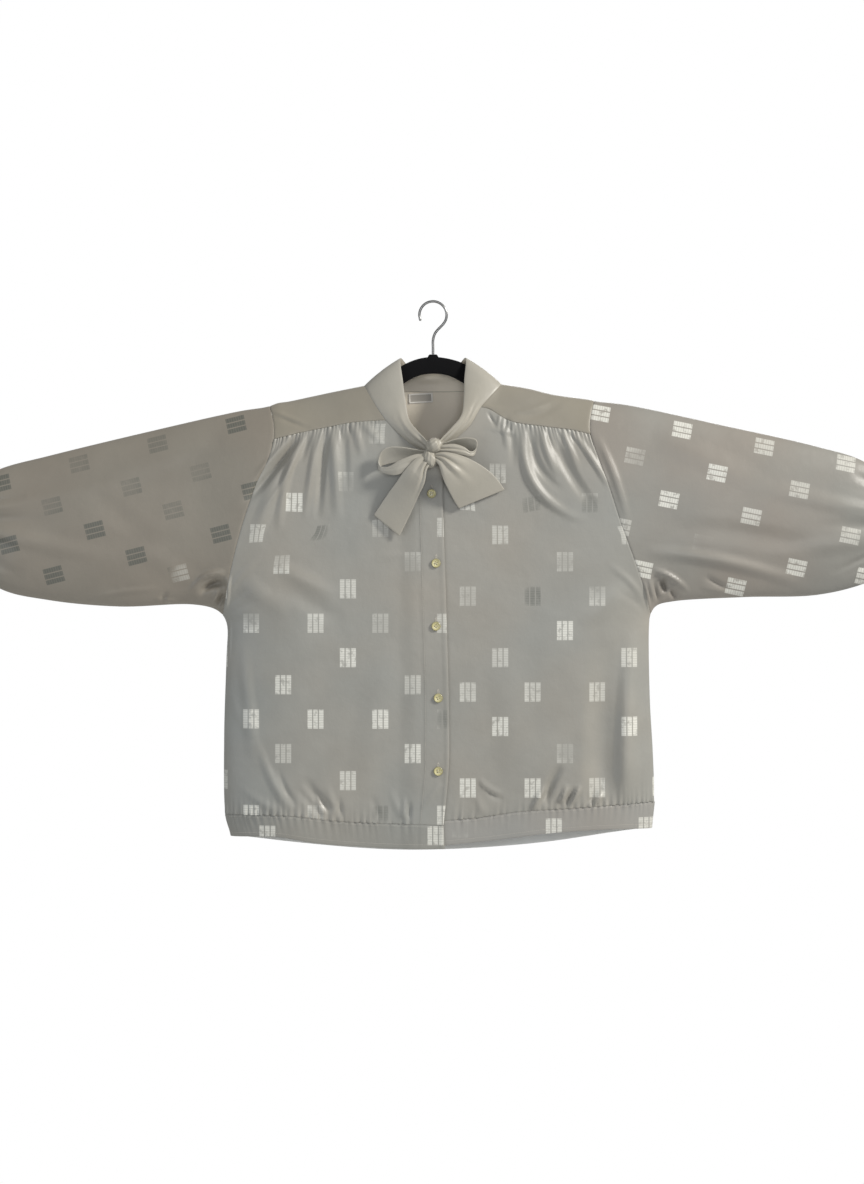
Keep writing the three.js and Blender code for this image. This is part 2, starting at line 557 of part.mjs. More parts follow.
// The back and its hem band
const BACK_FRACTIONS = joined([0, 0.01, 0.034, 0.075, 0.13], even(16).map(f => 0.13 + 0.74 * f), [0.87, 0.925, 0.966, 0.99, 1]);
const backSeam = new Line([left.armholeBack[YOKE_BACK_STEPS], ...BACK_SEAM, right.armholeBack[YOKE_BACK_STEPS]]);
const hemSeamBack = new Line([left.under.at(left.hemSeamShare), ...HEM_SEAM_BACK, right.under.at(right.hemSeamShare)]);
const hemEdgeBack = new Line([left.under.at(left.hemEdgeShare), ...HEM_EDGE_BACK, right.under.at(right.hemEdgeShare)]);
const BACK_SIDE_STEPS = 7;

function backOuter(side) {
  const down = side.under.span(side.armpitShare, side.hemSeamShare, even(BACK_SIDE_STEPS));
  return joined(side.armholeBack.slice(YOKE_BACK_STEPS), down);
}

const backGrid = drape(patch(
  backSeam.span(0, 1, BACK_FRACTIONS), hemSeamBack.span(0, 1, BACK_FRACTIONS),
  backOuter(left), backOuter(right)), BACK);
addPiece('back', wall(seamed(backGrid, { first: true, last: true, left: true, right: true }), CLOTH), satin);

const backBand = drape(patch(
  hemSeamBack.span(0, 1, BACK_FRACTIONS), hemEdgeBack.span(0, 1, BACK_FRACTIONS),
  left.under.span(left.hemSeamShare, left.hemEdgeShare, [0, 1]),
  right.under.span(right.hemSeamShare, right.hemEdgeShare, [0, 1])), BACK);
addPiece('hem_band_back', wall(seamed(backBand, { first: true, left: true, right: true }), CLOTH), satinBand);

// The yoke, from one front seam over the shoulder, across the back and down to the other
const neckBack = new Line(NECK_BACK);
const neckBackMiddle = neckBack.shareAt('x', 0);
const backSeamMiddle = backSeam.shareAt('x', 0);
const backLine = even(YOKE_ACROSS).map(f => neckBack.at(neckBackMiddle).lerp(backSeam.at(backSeamMiddle), f));
const NECK_TURN = 0.52;

function yokeFront(side) {
  const seam = side.yokeSeam.span(0, 1, even(YOKE_ACROSS));
  const neck = side.neck.span(side.yokeStart, 0, crowdedEnd(YOKE_FRONT_STEPS));
  const armhole = side.armholeFront.slice(0, YOKE_FRONT_STEPS + 1).reverse();
  return patch(seam, side.shoulder, neck, armhole);
}

function yokeBack(side, neckEnd, seamEnd) {
  const neckTurn = neckEnd + (neckBackMiddle - neckEnd) * NECK_TURN;
  const neck = joined(
    neckBack.span(neckEnd, neckTurn, crowdedStart(YOKE_BACK_STEPS)),
    neckBack.span(neckTurn, neckBackMiddle, even(YOKE_MIDDLE_STEPS)));
  const outer = joined(
    side.armholeBack.slice(0, YOKE_BACK_STEPS + 1),
    backSeam.span(seamEnd, backSeamMiddle, even(YOKE_MIDDLE_STEPS)));
  return patch(side.shoulder, backLine, neck, outer);
}

const yokeGrid = joined(
  drape(yokeFront(left), FRONT), drape(yokeBack(left, 0, 0), BACK),
  drape(yokeBack(right, 1, 1), BACK).reverse(), drape(yokeFront(right), FRONT).reverse());
addPiece('yoke', wall(seamed(yokeGrid, { first: true, last: true, left: true, right: true }), CLOTH), satin);

// Sleeves and cuffs: tubes that open at both ends
function tubeEnd(top, bottom, fractions) {
  return fractions.map(f => top.clone().lerp(bottom, f));
}

function shares(points) {
  const sums = [0];
  for (let i = 1; i < points.length; i++) sums.push(sums[i - 1] + points[i].distanceTo(points[i - 1]));
  return sums.map(sum => sum / sums[sums.length - 1]);
}

function tube(topEdge, underEdge, firstFront, firstBack, lastFront, lastBack) {
  const frontHalf = drape(patch(firstFront, lastFront, topEdge, underEdge), FRONT);
  const backHalf = drape(patch(firstBack, lastBack, topEdge, underEdge), BACK);
  return frontHalf.map((row, r) => [...row, ...backHalf[r].slice(1, -1).reverse()]);
}

function sleevePieces(name, side) {
  const frontShares = shares(side.armholeFront);
  const backShares = shares(side.armholeBack);
  const ring = side.cuffRidge.map((top, i) => ({
    front: tubeEnd(top, side.cuffUnder[i], frontShares), back: tubeEnd(top, side.cuffUnder[i], backShares),
  }));
  const sleeve = tube(
    side.sleeveRidge, side.sleeveUnder, side.armholeFront, side.armholeBack, ring[0].front, ring[0].back);
  const cuff = tube(side.cuffRidge, side.cuffUnder, ring[0].front, ring[0].back, ring[2].front, ring[2].back);
  addPiece(`sleeve_${name}`, wall(seamed(sleeve, { first: true, last: true }), CLOTH, true), satin);
  addPiece(`cuff_${name}`, wall(seamed(cuff, { first: true }), CLOTH, true), satinBand);
}

sleevePieces('left', left);
sleevePieces('right', right);

// The knot of the tie: two lobes, and a larger pair that cuts what runs into it
function knotSolid(growth) {
  const lobes = KNOT_LOBES.map(lobe => {
    const ball = new THREE.SphereGeometry(1, 12, 8);
    ball.scale(lobe.wide + growth, lobe.deep + growth, lobe.high + growth);
    ball.rotateY(lobe.tilt);
    ball.translate(lobe.x, lobe.y, lobe.z);
    return toSolid(ball);
  });
  return lobes[0].add(lobes[1]);
}

const knotRoom = knotSolid(KNOT_CLEAR);
addPiece('tie_knot', fromSolid(knotSolid(0)), satin);

function outOfKnot(geometry) {
  return fromSolid(toSolid(geometry).subtract(knotRoom));
}

// Directions out of a grid of points, from its neighbours
function gridOut(points) {
  return points.map((row, r) => row.map((_, c) => {
    const along = points[Math.min(r + 1, points.length - 1)][c].clone().sub(points[Math.max(r - 1, 0)][c]);
    const across = row[Math.min(c + 1, row.length - 1)].clone().sub(row[Math.max(c - 1, 0)]);
    return along.cross(across).normalize();
  }));
}

// The collar strip stands on the neck seam, and its ends run into the knot
const COLLAR_ROWS = even(3);
const neckSeam = joined(
  drape([left.neckFront.slice(1)], LAPPED_FRONT)[0], yokeGrid.map(row => row[0]),
  drape([right.neckFront.slice(1)], FRONT)[0].reverse());
const collarStart = { at: new THREE.Vector3(-3, -44, -211), out: new THREE.Vector3(0, -1, 0) };
const collarFinish = { at: new THREE.Vector3(3, -43, -210), out: new THREE.Vector3(0, -1, 0) };
const collarFoot = [collarStart, ...neckSeam, collarFinish];
const collarTopCurve = new THREE.CatmullRomCurve3(COLLAR_TOP.map(p => new THREE.Vector3(p.x, p.y, p.z)));

function collarTopAt(share) {
  let i = 1;
  while (i < COLLAR_TOP.length - 1 && COLLAR_TOP[i].share < share) i++;
  const part = (share - COLLAR_TOP[i - 1].share) / (COLLAR_TOP[i].share - COLLAR_TOP[i - 1].share);
  return collarTopCurve.getPoint((i - 1 + part) / (COLLAR_TOP.length - 1));
}

function collarGrid() {
  const footShares = shares(collarFoot.map(cell => cell.at));
  const points = collarFoot.map((cell, i) => {
    const top = collarTopAt(footShares[i]);
    return COLLAR_ROWS.map(f => cell.at.clone().lerp(top, f)
      .addScaledVector(cell.out, COLLAR_BULGE * 4 * f * (1 - f) * smooth(Math.min(i, collarFoot.length - 1 - i), 0, 4)));
  });
  const out = gridOut(points);
  const facing = Math.sign(out[10][2].dot(collarFoot[10].out));
  return points.map((row, i) => row.map((at, j) => ({
    at, out: j ? out[i][j].clone().multiplyScalar(facing) : collarFoot[i].out,
  })));
}

addPiece('collar', outOfKnot(wall(seamed(collarGrid(), { left: true }), CLOTH)), satin);

// Loops and tails: strips of doubled cloth between two edges, with a crown along the middle
const STRIP_ACROSS = 4;

function strip(rows, steps) {
  const from = new THREE.CatmullRomCurve3(rows.map(p => new THREE.Vector3(p.x, p.y, p.z)));
  const to = new THREE.CatmullRomCurve3(rows.map(p => new THREE.Vector3(p.toX, p.toY, p.toZ)));
  const points = even(steps).map(f => {
    const row = f * (rows.length - 1);
    const low = Math.min(Math.floor(row), rows.length - 2);
    const crown = THREE.MathUtils.lerp(rows[low].crown, rows[low + 1].crown, row - low);
    return even(STRIP_ACROSS).map(g => {
      const at = from.getPoint(f).lerp(to.getPoint(f), g);
      at.y -= crown * Math.sin(Math.PI * g);
      return at;
    });
  });
  const out = gridOut(points);
  const grid = points.map((row, r) => row.map((at, c) => ({ at, out: out[r][c] })));
  return outOfKnot(wall(grid, TIE_CLOTH));
}

addPiece('tie_loop_left', strip(LOOP_LEFT, 13), satin);
addPiece('tie_loop_right', strip(LOOP_RIGHT, 13), satin);
addPiece('tie_tail_left', strip(TAIL_LEFT, 8), satin);
addPiece('tie_tail_right', strip(TAIL_RIGHT, 8), satin);

// Buttons: round, dished discs that lie on the cloth
function buttonGeometry() {
  const radius = BUTTON_DIAMETER / 2;
  const profile = [
    [0, 0], [radius, 0], [radius, BUTTON_THICKNESS], [radius * 0.62, BUTTON_THICKNESS - 0.7],
    [0, BUTTON_THICKNESS - 0.7],
  ].map(([r, h]) => new THREE.Vector2(r, h));
  const disc = new THREE.LatheGeometry(profile, 10);
  disc.deleteAttribute('normal');
  disc.deleteAttribute('uv');
  return mergeVertices(disc, 1e-4);
}

function addButton(name, x, z, face) {
  const button = addPiece(name, buttonGeometry(), pearl);
  const out = outward(x, z, face);
  button.quaternion.setFromUnitVectors(new THREE.Vector3(0, 1, 0), out);
  button.position.copy(onCloth({ x, z }, face)).addScaledVector(out, CLOTH / 2 + REST);
}

BUTTONS.forEach((spot, i) => addButton(`button_${i + 1}`, spot.x, spot.z, LAPPED_FRONT));

for (const [name, side] of [['left', left], ['right', right]]) {
  const top = side.cuffRidge[1];
  const under = side.cuffUnder[1];
  addButton(`cuff_button_${name}`, (top.x + under.x) / 2, THREE.MathUtils.lerp(top.z, under.z, 0.55), BACK);
}

// The neck label, blank, on the inside of the yoke
const labelGrid = even(2).map(v => even(4).map(u => {
  const flat = new THREE.Vector2((u - 0.5) * LABEL.wide, (0.5 - v) * LABEL.high).rotateAround(new THREE.Vector2(), LABEL.tilt);
  const spot = { x: LABEL.x + flat.x, z: LABEL.z + flat.y };
  const out = outward(spot.x, spot.z, BACK);
  const inset = CLOTH / 2 + REST + LABEL.thickness / 2;
  return { at: onCloth(spot, BACK).addScaledVector(out, -inset), out };
}));
addPiece('neck_label', wall(labelGrid, LABEL.thickness), labelCloth);

// The hanger: one flat piece under the shoulders, arched through the neck
function armEdge(ridge, sign, drop) {
  const xs = even(5).map(f => sign * THREE.MathUtils.lerp(ARM_START, HANGER_TIP - 4, f));
  return xs.map(x => {
    const share = ridge.shareAt('x', x);
    const taper = smooth(Math.abs(x), ARM_START, HANGER_TIP);
    return { x, z: ridge.at(share).z - drop(taper) };
  });
}

function hangerOutline() {
  const topDrop = () => HANGER_UNDER_RIDGE + HANGER_BEVEL;
  const bottomDrop = taper => THREE.MathUtils.lerp(HANGER_ARM_HEIGHT, HANGER_TIP_HEIGHT, taper);
  const tip = (sign, ridge) => {
    const z = ridge.at(ridge.shareAt('x', sign * (HANGER_TIP - 4))).z - HANGER_TIP_HEIGHT / 2 - 1;
    return { x: sign * HANGER_TIP, z };
  };
  const boss = [-1, 1].map(sign => ({ x: (sign * BOSS.wide) / 2, z: BOSS.top }));
  const arcTop = [...HANGER_ARC_TOP.filter(p => p.x < -10), ...boss, ...HANGER_ARC_TOP.filter(p => p.x > 10)];
  return [
    ...armEdge(ridges[0], -1, topDrop).reverse(), ...arcTop, ...armEdge(ridges[1], 1, topDrop),
    tip(1, ridges[1]), ...armEdge(ridges[1], 1, bottomDrop).reverse(), ...HANGER_ARC_BOTTOM,
    ...armEdge(ridges[0], -1, bottomDrop), tip(-1, ridges[0]),
  ];
}

const hangerShape = new THREE.Shape(hangerOutline().map(p => new THREE.Vector2(p.x, p.z)));
const hanger = new THREE.ExtrudeGeometry(hangerShape, {
  depth: HANGER_THICKNESS - 2 * HANGER_BEVEL, bevelEnabled: true, bevelSegments: 1,
  bevelThickness: HANGER_BEVEL, bevelSize: HANGER_BEVEL, bevelOffset: 0,
});
hanger.translate(0, 0, -(HANGER_THICKNESS - 2 * HANGER_BEVEL) / 2);
hanger.rotateX(Math.PI / 2);
hanger.deleteAttribute('normal');
hanger.deleteAttribute('uv');
addPiece('hanger', mergeVertices(hanger, 1e-4), velvet);

// The hook: a wire that turns over the rail, with the origin at the inside of its top
class HookPath extends THREE.Curve {
  constructor() {
    super();
    const radius = HOOK_INNER_RADIUS + HOOK_WIRE / 2;
    const arc = even(12).map(f => {
      const angle = THREE.MathUtils.degToRad(THREE.MathUtils.lerp(200, -38, f));
      return new THREE.Vector3(radius * Math.cos(angle), 0, radius * Math.sin(angle) - HOOK_INNER_RADIUS);
    });
    const bottom = BOSS.top + HANGER_BEVEL + REST;
    const stem = [new THREE.Vector3(3, 0, -42), new THREE.Vector3(0, 0, -52), new THREE.Vector3(0, 0, bottom)];
    this.spline = new THREE.CatmullRomCurve3([...arc, ...stem]);
  }

  getPoint(t) {
    return this.spline.getPointAt(t);
  }
}

const wireSection = new THREE.Shape(even(7).slice(0, -1).map(f => new THREE.Vector2(
  (HOOK_WIRE / 2) * Math.cos(2 * Math.PI * f), (HOOK_WIRE / 2) * Math.sin(2 * Math.PI * f))));
const hook = new THREE.ExtrudeGeometry(wireSection, { steps: 22, extrudePath: new HookPath() });
hook.deleteAttribute('normal');
hook.deleteAttribute('uv');
addPiece('hook', mergeVertices(hook, 1e-4), steel);

export default blouse;
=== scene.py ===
import math

import bpy
import numpy as np
from mathutils import Matrix, Vector


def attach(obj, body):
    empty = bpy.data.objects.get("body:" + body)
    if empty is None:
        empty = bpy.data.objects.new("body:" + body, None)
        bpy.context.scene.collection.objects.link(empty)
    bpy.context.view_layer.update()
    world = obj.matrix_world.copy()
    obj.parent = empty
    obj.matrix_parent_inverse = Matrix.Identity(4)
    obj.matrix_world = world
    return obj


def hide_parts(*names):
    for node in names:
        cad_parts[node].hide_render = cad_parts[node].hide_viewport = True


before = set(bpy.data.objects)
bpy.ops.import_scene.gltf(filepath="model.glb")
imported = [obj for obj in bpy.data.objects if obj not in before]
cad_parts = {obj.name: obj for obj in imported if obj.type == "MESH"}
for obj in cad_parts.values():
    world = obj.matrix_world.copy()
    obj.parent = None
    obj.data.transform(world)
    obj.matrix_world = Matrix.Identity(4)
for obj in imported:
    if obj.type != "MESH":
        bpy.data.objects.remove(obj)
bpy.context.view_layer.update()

# Tie neck blouse of grey jacquard satin on a black velvet hanger. Sizes are in millimetres until
# a mesh is made. The front faces -Y. Left and right are the viewer's, apart from the two fronts
# and their hem bands, which are named by the wearer.
MM = 0.001

# Thickness of the cloth, single and doubled, and the gap between two pieces at a seam
CLOTH = 0.8
DOUBLED = 1.5
TIE_CLOTH = 1.6
SEAM = 0.1

# Half the depth of the body and the sleeves, and how far from an outline they reach it
BODY_DEPTH = 32
SLEEVE_DEPTH = 27
ROUNDING = 110
SLEEVE_FROM, SLEEVE_FULL = 230, 330

# How far the lapped front stands out, from where to where it rises, and its doubled placket
LAP_LIFT = 2.1
LAP_START, LAP_FULL = -48, -22
PLACKET = 33
PLACKET_RISE = 0.35
PLACKET_GROOVE = 0.15
PLACKET_ROLL = 0.9
PLACKET_FROM, PLACKET_CLEAR = -235, -300

# Spacing of the points of an outline, and the turns of the half ring round a piece's edge
OUTLINE_STEP = 3.5
EDGE_TURNS = (math.pi / 4, math.pi / 2, 3 * math.pi / 4)


def table(columns, *rows):
    """Rows under named columns, as one array for each column."""
    return dict(zip(columns.split(), np.array(rows, float).T))


def joined_tables(*tables):
    return {name: np.concatenate([t[name] for t in tables]) for name in tables[0]}


# Outlines in the front view, from the neck to the cuff and from the cuff to below the hem
RIDGE_LEFT = table("x z",
    (-94, -115), (-134, -123), (-167, -130), (-200, -137), (-214, -139), (-228, -144),
    (-266, -150), (-399, -180), (-531, -212), (-598, -230), (-646, -255), (-705, -262))
RIDGE_RIGHT = table("x z",
    (94, -113), (131, -119), (164, -127), (197, -132), (213, -134), (228, -137),
    (264, -141), (396, -169), (529, -199), (593, -219), (644, -258), (702, -268))
UNDER_LEFT = table("x z",
    (-705, -350), (-646, -353), (-598, -394), (-531, -410), (-432, -419), (-333, -416),
    (-302, -422), (-290, -431), (-284, -445), (-285, -493), (-288, -600), (-286, -708),
    (-279, -735), (-276, -775))
UNDER_RIGHT = table("x z",
    (702, -362), (644, -364), (593, -388), (529, -403), (429, -406), (330, -412),
    (308, -418), (300, -430), (298, -445), (299, -548), (303, -620), (305, -690),
    (302, -725), (300, -775))
NECK_BRIDGE = table("x z", (-94, -115), (-62, -82), (0, -60), (62, -82), (94, -113))

# Seams in the front view
NECK_LEFT = table("x z",
    (-94, -115), (-79, -142), (-64, -164), (-45, -184), (-27, -199), (0, -213), (14, -218))
NECK_RIGHT = table("x z",
    (94, -113), (77, -132), (65, -146), (50, -171), (31, -189), (0, -212), (-12, -217))
NECK_BACK = table("x z", (-94, -115), (-60, -119), (0, -121), (60, -119), (94, -113))
ARMHOLE_LEFT = table("x z",
    (-219, -165), (-218, -190), (-228, -224), (-241, -250), (-261, -308), (-277, -369))
ARMHOLE_RIGHT = table("x z",
    (217, -155), (215, -178), (225, -213), (239, -250), (258, -308), (284, -378))
ARMHOLE_BACK_LEFT = table("x z", (-219, -185), (-230, -240), (-252, -320), (-274, -385))
ARMHOLE_BACK_RIGHT = table("x z", (216, -180), (228, -238), (256, -320), (283, -385))
YOKE_SEAM_LEFT = table("x z", (-64, -164), (-110, -167), (-142, -173), (-181, -181))
YOKE_SEAM_RIGHT = table("x z", (65, -146), (75, -148), (106, -165), (148, -172), (189, -177))
BACK_SEAM = table("x z", (-120, -233), (0, -234), (120, -232))
HEM_SEAM_LEFT = table("x z", (14, -718), (-60, -716), (-127, -713), (-193, -706), (-253, -705))
HEM_SEAM_RIGHT = table("x z", (-12, -714), (61, -708), (115, -700), (192, -695), (250, -691))
HEM_SEAM_BACK = table("x z", (-200, -714), (-70, -724), (60, -723), (200, -706))
HEM_EDGE_LEFT = table("x z", (16, -750), (-60, -749), (-161, -742), (-215, -734))
HEM_EDGE_RIGHT = table("x z", (-12, -748), (94, -737), (156, -729), (230, -724))
HEM_EDGE_BACK = table("x z", (-193, -747), (-70, -757), (22, -757), (156, -747))
FRONT_EDGE_LEFT = table("x z", (14, -218), (13, -265), (17, -400), (21, -545), (21, -640), (14, -718))
FRONT_EDGE_RIGHT = table("x z", (-12, -217), (-12, -714))

# Where the seams meet the outlines of each side, and the column where its yoke gathers start
LEFT = {
    "armhole_top": -225, "armpit": -431, "yoke_end": -190, "back_yoke_end": -231,
    "hem_seam": -705, "hem_edge": -735, "sleeve_end": -646, "cuff_end": -703, "gathers_from": 0,
}
RIGHT = {
    "armhole_top": 222, "armpit": -430, "yoke_end": -183, "back_yoke_end": -229,
    "hem_seam": -688, "hem_edge": -724, "sleeve_end": 644, "cuff_end": 700, "gathers_from": 24,
}

# Folds, each a soft ridge or trough from (x, z) to (to_x, to_z): bend moves its middle sideways,
# wide is its half width, high its height outwards and peak where along it that is reached.
FOLD = "x z to_x to_z bend wide high peak"
FRONT_FOLDS = table(FOLD,
    (-108, -169, -96, -215, 0, 8, 2.4, 0.35),
    (-99, -166, -66, -198, 0, 8, 1.8, 0.4),
    (-122, -170, -118, -262, 0, 8, -2.2, 0.35),
    (-137, -174, -130, -300, 0, 10, 3.8, 0.3),
    (-146, -175, -158, -300, 0, 8, -5.2, 0.35),
    (-157, -177, -176, -300, 0, 8, 3, 0.35),
    (-168, -179, -180, -222, 0, 6, -2.6, 0.35),
    (-179, -182, -211, -315, 6, 9, 4.2, 0.35),
    (-184, -184, -252, -274, 0, 11, -5, 0.4),
    (-205, -222, -246, -330, 0, 14, 3, 0.5),
    (96, -163, 102, -205, 0, 7, 2.2, 0.35),
    (107, -167, 110, -230, 0, 8, -2.2, 0.3),
    (124, -170, 208, -302, 32, 10, 5, 0.45),
    (136, -172, 178, -262, 16, 9, -3.6, 0.35),
    (148, -173, 172, -242, 4, 8, 3.2, 0.35),
    (160, -174, 222, -286, 6, 12, -4, 0.45),
    (176, -177, 200, -232, 0, 7, 2.4, 0.35),
    (190, -179, 240, -256, -2, 7, 3, 0.45),
    (222, -182, 268, -312, -5, 8, 3, 0.35),
    (-216, -364, -130, -404, 0, 15, 3, 0.45),
    (-210, -392, -120, -440, 0, 16, -2, 0.5),
    (-242, -600, -193, -700, 5, 9, 2.8, 0.7),
    (-176, -656, -137, -700, 2, 10, -4.4, 0.7),
    (156, -664, 136, -698, 2, 6, 5.5, 0.6),
    (176, -636, 152, -690, 3, 9, -7, 0.6),
    (-262, -386, -196, -430, 0, 20, 2.6, 0.3),
    (268, -392, 200, -446, 0, 20, 2.6, 0.3),
    (-60, -470, -96, -680, 0, 34, 1.8, 0.5),
    (277, -446, 266, -694, 3, 21, 12, 0.72),
    (240, -466, 230, -694, 3, 30, -9, 0.72),
    (-262, -470, -244, -640, 0, 14, 3.4, 0.5),
    (92, -450, 120, -670, 0, 36, 1.8, 0.5),
    (-300, -190, -470, -262, 5, 26, 2.6, 0.4),
    (-470, -262, -385, -330, 0, 22, -1.5, 0.5),
    (-300, -330, -560, -322, -6, 24, -1.2, 0.5),
    (-312, -396, -420, -330, 0, 20, 1.2, 0.3),
    (-372, -410, -282, -377, 4, 12, 4, 0.6),
    (-430, -250, -640, -290, 0, 18, 3.2, 0.8),
    (-450, -350, -640, -312, 0, 18, 3.2, 0.8),
    (-520, -300, -640, -301, 0, 12, -3, 0.8),
    (-560, -384, -642, -334, 0, 14, -2.6, 0.7),
    (300, -186, 460, -262, -5, 26, 2.6, 0.4),
    (320, -312, 540, -345, -8, 22, -2.8, 0.5),
    (292, -345, 518, -394, -10, 13, 6, 0.45),
    (430, -250, 638, -300, 0, 18, 3.2, 0.8),
    (450, -350, 638, -322, 0, 18, 3.2, 0.8),
    (520, -306, 638, -311, 0, 12, -3, 0.8),
    (560, -380, 640, -342, 0, 14, -2.6, 0.7))
BACK_FOLDS = table(FOLD,
    (0, -92, 0, -300, 0, 105, -13, 0.45),
    (-170, -238, -186, -420, 0, 26, 3.4, 0.4),
    (-110, -240, -118, -470, 0, 24, -2.8, 0.4),
    (-40, -240, -30, -520, 0, 30, 2.6, 0.4),
    (60, -240, 74, -500, 0, 28, -2.6, 0.4),
    (140, -238, 156, -440, 0, 26, 3.4, 0.4),
    (-250, -600, -150, -700, 0, 26, 3, 0.6),
    (160, -690, 260, -610, 0, 26, 3, 0.4),
    (-300, -200, -520, -290, 5, 28, 2.8, 0.5),
    (-320, -380, -560, -330, 0, 26, 3, 0.5),
    (-470, -270, -640, -295, 0, 18, -3, 0.8),
    (300, -200, 520, -290, -5, 28, 2.8, 0.5),
    (320, -380, 560, -335, 0, 26, 3, 0.5),
    (470, -275, 638, -305, 0, 18, -3, 0.8))

# Finer creases of the cloth, in the same columns
FRONT_CREASES = table(FOLD,
    (-179, -180, -262, -282, -4, 8, -6.5, 0.3),
    (-192, -180, -246, -240, -4, 6, 2.6, 0.45),
    (-176, -186, -236, -292, -6, 6, 2.4, 0.4),
    (-226, -148, -170, -172, 0, 5, 3, 0.35),
    (-216, -158, -164, -178, 0, 6, -2, 0.4),
    (108, -152, 172, -130, 6, 5, 2.6, 0.4),
    (118, -160, 178, -138, 6, 6, -2, 0.4),
    (67, -145, 97, -148, 0, 3.5, 1.6, 0.4),
    (74, -152, 86, -173, 0, 3.5, -2.2, 0.5),
    (102, -156, 97, -183, 0, 3.5, -2.6, 0.5),
    (111, -163, 107, -186, 0, 3.5, 2, 0.5),
    (67, -173, 118, -184, 0, 4.5, 1.8, 0.5),
    (92, -154, 88, -176, 0, 3.5, 1.8, 0.5),
    (-80, -352, -32, -348, 0, 5, 1, 0.5),
    (-128, -170, -124, -196, 0, 3.5, -1.6, 0.3),
    (-116, -168, -112, -190, 0, 3.5, -1.6, 0.3),
    (-152, -176, -160, -210, 0, 3.5, 1.6, 0.3),
    (131, -171, 138, -206, 3, 4, -1.6, 0.3),
    (155, -174, 170, -212, 2, 4, -1.6, 0.3),
    (169, -176, 184, -206, 0, 4, -1.4, 0.3),
    (183, -178, 204, -206, 0, 4, -1.4, 0.3),
    (-232, -352, -284, -404, 4, 7, 2, 0.7),
    (-246, -392, -284, -420, 2, 6, -1.8, 0.7),
    (-236, -420, -283, -438, 2, 7, 1.6, 0.7),
    (236, -360, 290, -410, -4, 7, 2, 0.7),
    (250, -398, 292, -424, -2, 6, -1.8, 0.7),
    (-284, -373, -332, -396, 8, 5, 9, 0.4),
    (-284, -385, -322, -402, 4, 8, -20, 0.4),
    (-292, -394, -304, -414, 0, 4, 6, 0.5),
    (-283, -398, -300, -424, 0, 7, -18, 0.5),
    (-367, -398, -374, -416, 0, 5, -8, 0.7),
    (-384, -408, -350, -413, 0, 4.5, 5, 0.5),
    (-279, -376, -285, -426, 0, 5, 6, 0.4),
    (-279, -436, -281, -500, 0, 4, 5, 0.3),
    (301, -370, 352, -400, -5, 5, 9, 0.4),
    (315, -380, 322, -402, 1, 6.5, -18, 0.5),
    (325, -392, 338, -412, 0, 6, -15, 0.5),
    (314, -404, 338, -388, 0, 3.5, 6, 0.5),
    (296, -380, 306, -414, 1, 5, 6, 0.5),
    (302, -386, 312, -416, 0, 4, -6, 0.5),
    (291, -386, 298, -428, 0, 4.5, 6, 0.5),
    (372, -378, 408, -396, 0, 5, -6, 0.5),
    (366, -392, 412, -402, 0, 5, 2.4, 0.5),
    (-476, -410, -368, -396, -4, 6, 3, 0.4),
    (-640, -280, -556, -268, 0, 5, -4, 0.25),
    (-642, -290, -566, -280, 0, 5, 3.4, 0.25),
    (-642, -322, -572, -334, 0, 12, -4.4, 0.4),
    (640, -268, 574, -236, 0, 10, -5, 0.3),
    (640, -292, 556, -280, 0, 6, 1.8, 0.25),
    (640, -330, 546, -374, 0, 7, -5, 0.35),
    (640, -346, 560, -388, 0, 6, 3, 0.35),
    (-268, -664, -210, -700, 2, 8, 1.6, 0.7),
    (-190, -664, -150, -706, 0, 8, -1.6, 0.7),
    (-146, -660, -132, -708, 0, 8, 1.4, 0.7),
    (-60, -668, -40, -712, 0, 8, 1.4, 0.7),
    (-84, -676, -72, -713, 0, 6, -1.4, 0.7),
    (58, -674, 70, -706, 0, 8, 1.4, 0.7),
    (185, -664, 174, -688, 1, 4.5, 6, 0.6),
    (203, -664, 188, -690, 1, 4.5, 6, 0.6),
    (195, -668, 182, -690, 1, 4, -5, 0.6),
    (234, -672, 220, -690, 0, 5, 5, 0.6),
    (224, -668, 212, -690, 0, 5, -3, 0.6),
    (63, -654, 94, -676, 4, 4.5, 3.4, 0.5),
    (70, -662, 98, -684, 4, 5, -2, 0.5),
    (-39, -680, -40, -709, 0, 4, 3, 0.6),
    (-31, -686, -33, -710, 0, 4, -2.6, 0.6),
    (-160, -674, -148, -703, 1, 4, 3.2, 0.6),
    (-128, -680, -126, -708, 0, 5, -3, 0.6),
    (-212, -640, -186, -692, 3, 5, -2, 0.6),
    (12, -660, -18, -697, 0, 5, 1.6, 0.5),
    (294, -526, 302, -640, 0, 6, 3, 0.3),
    (262, -610, 298, -560, 0, 12, 1.6, 0.6),
    (-284, -540, -244, -600, 0, 14, 1.8, 0.4))
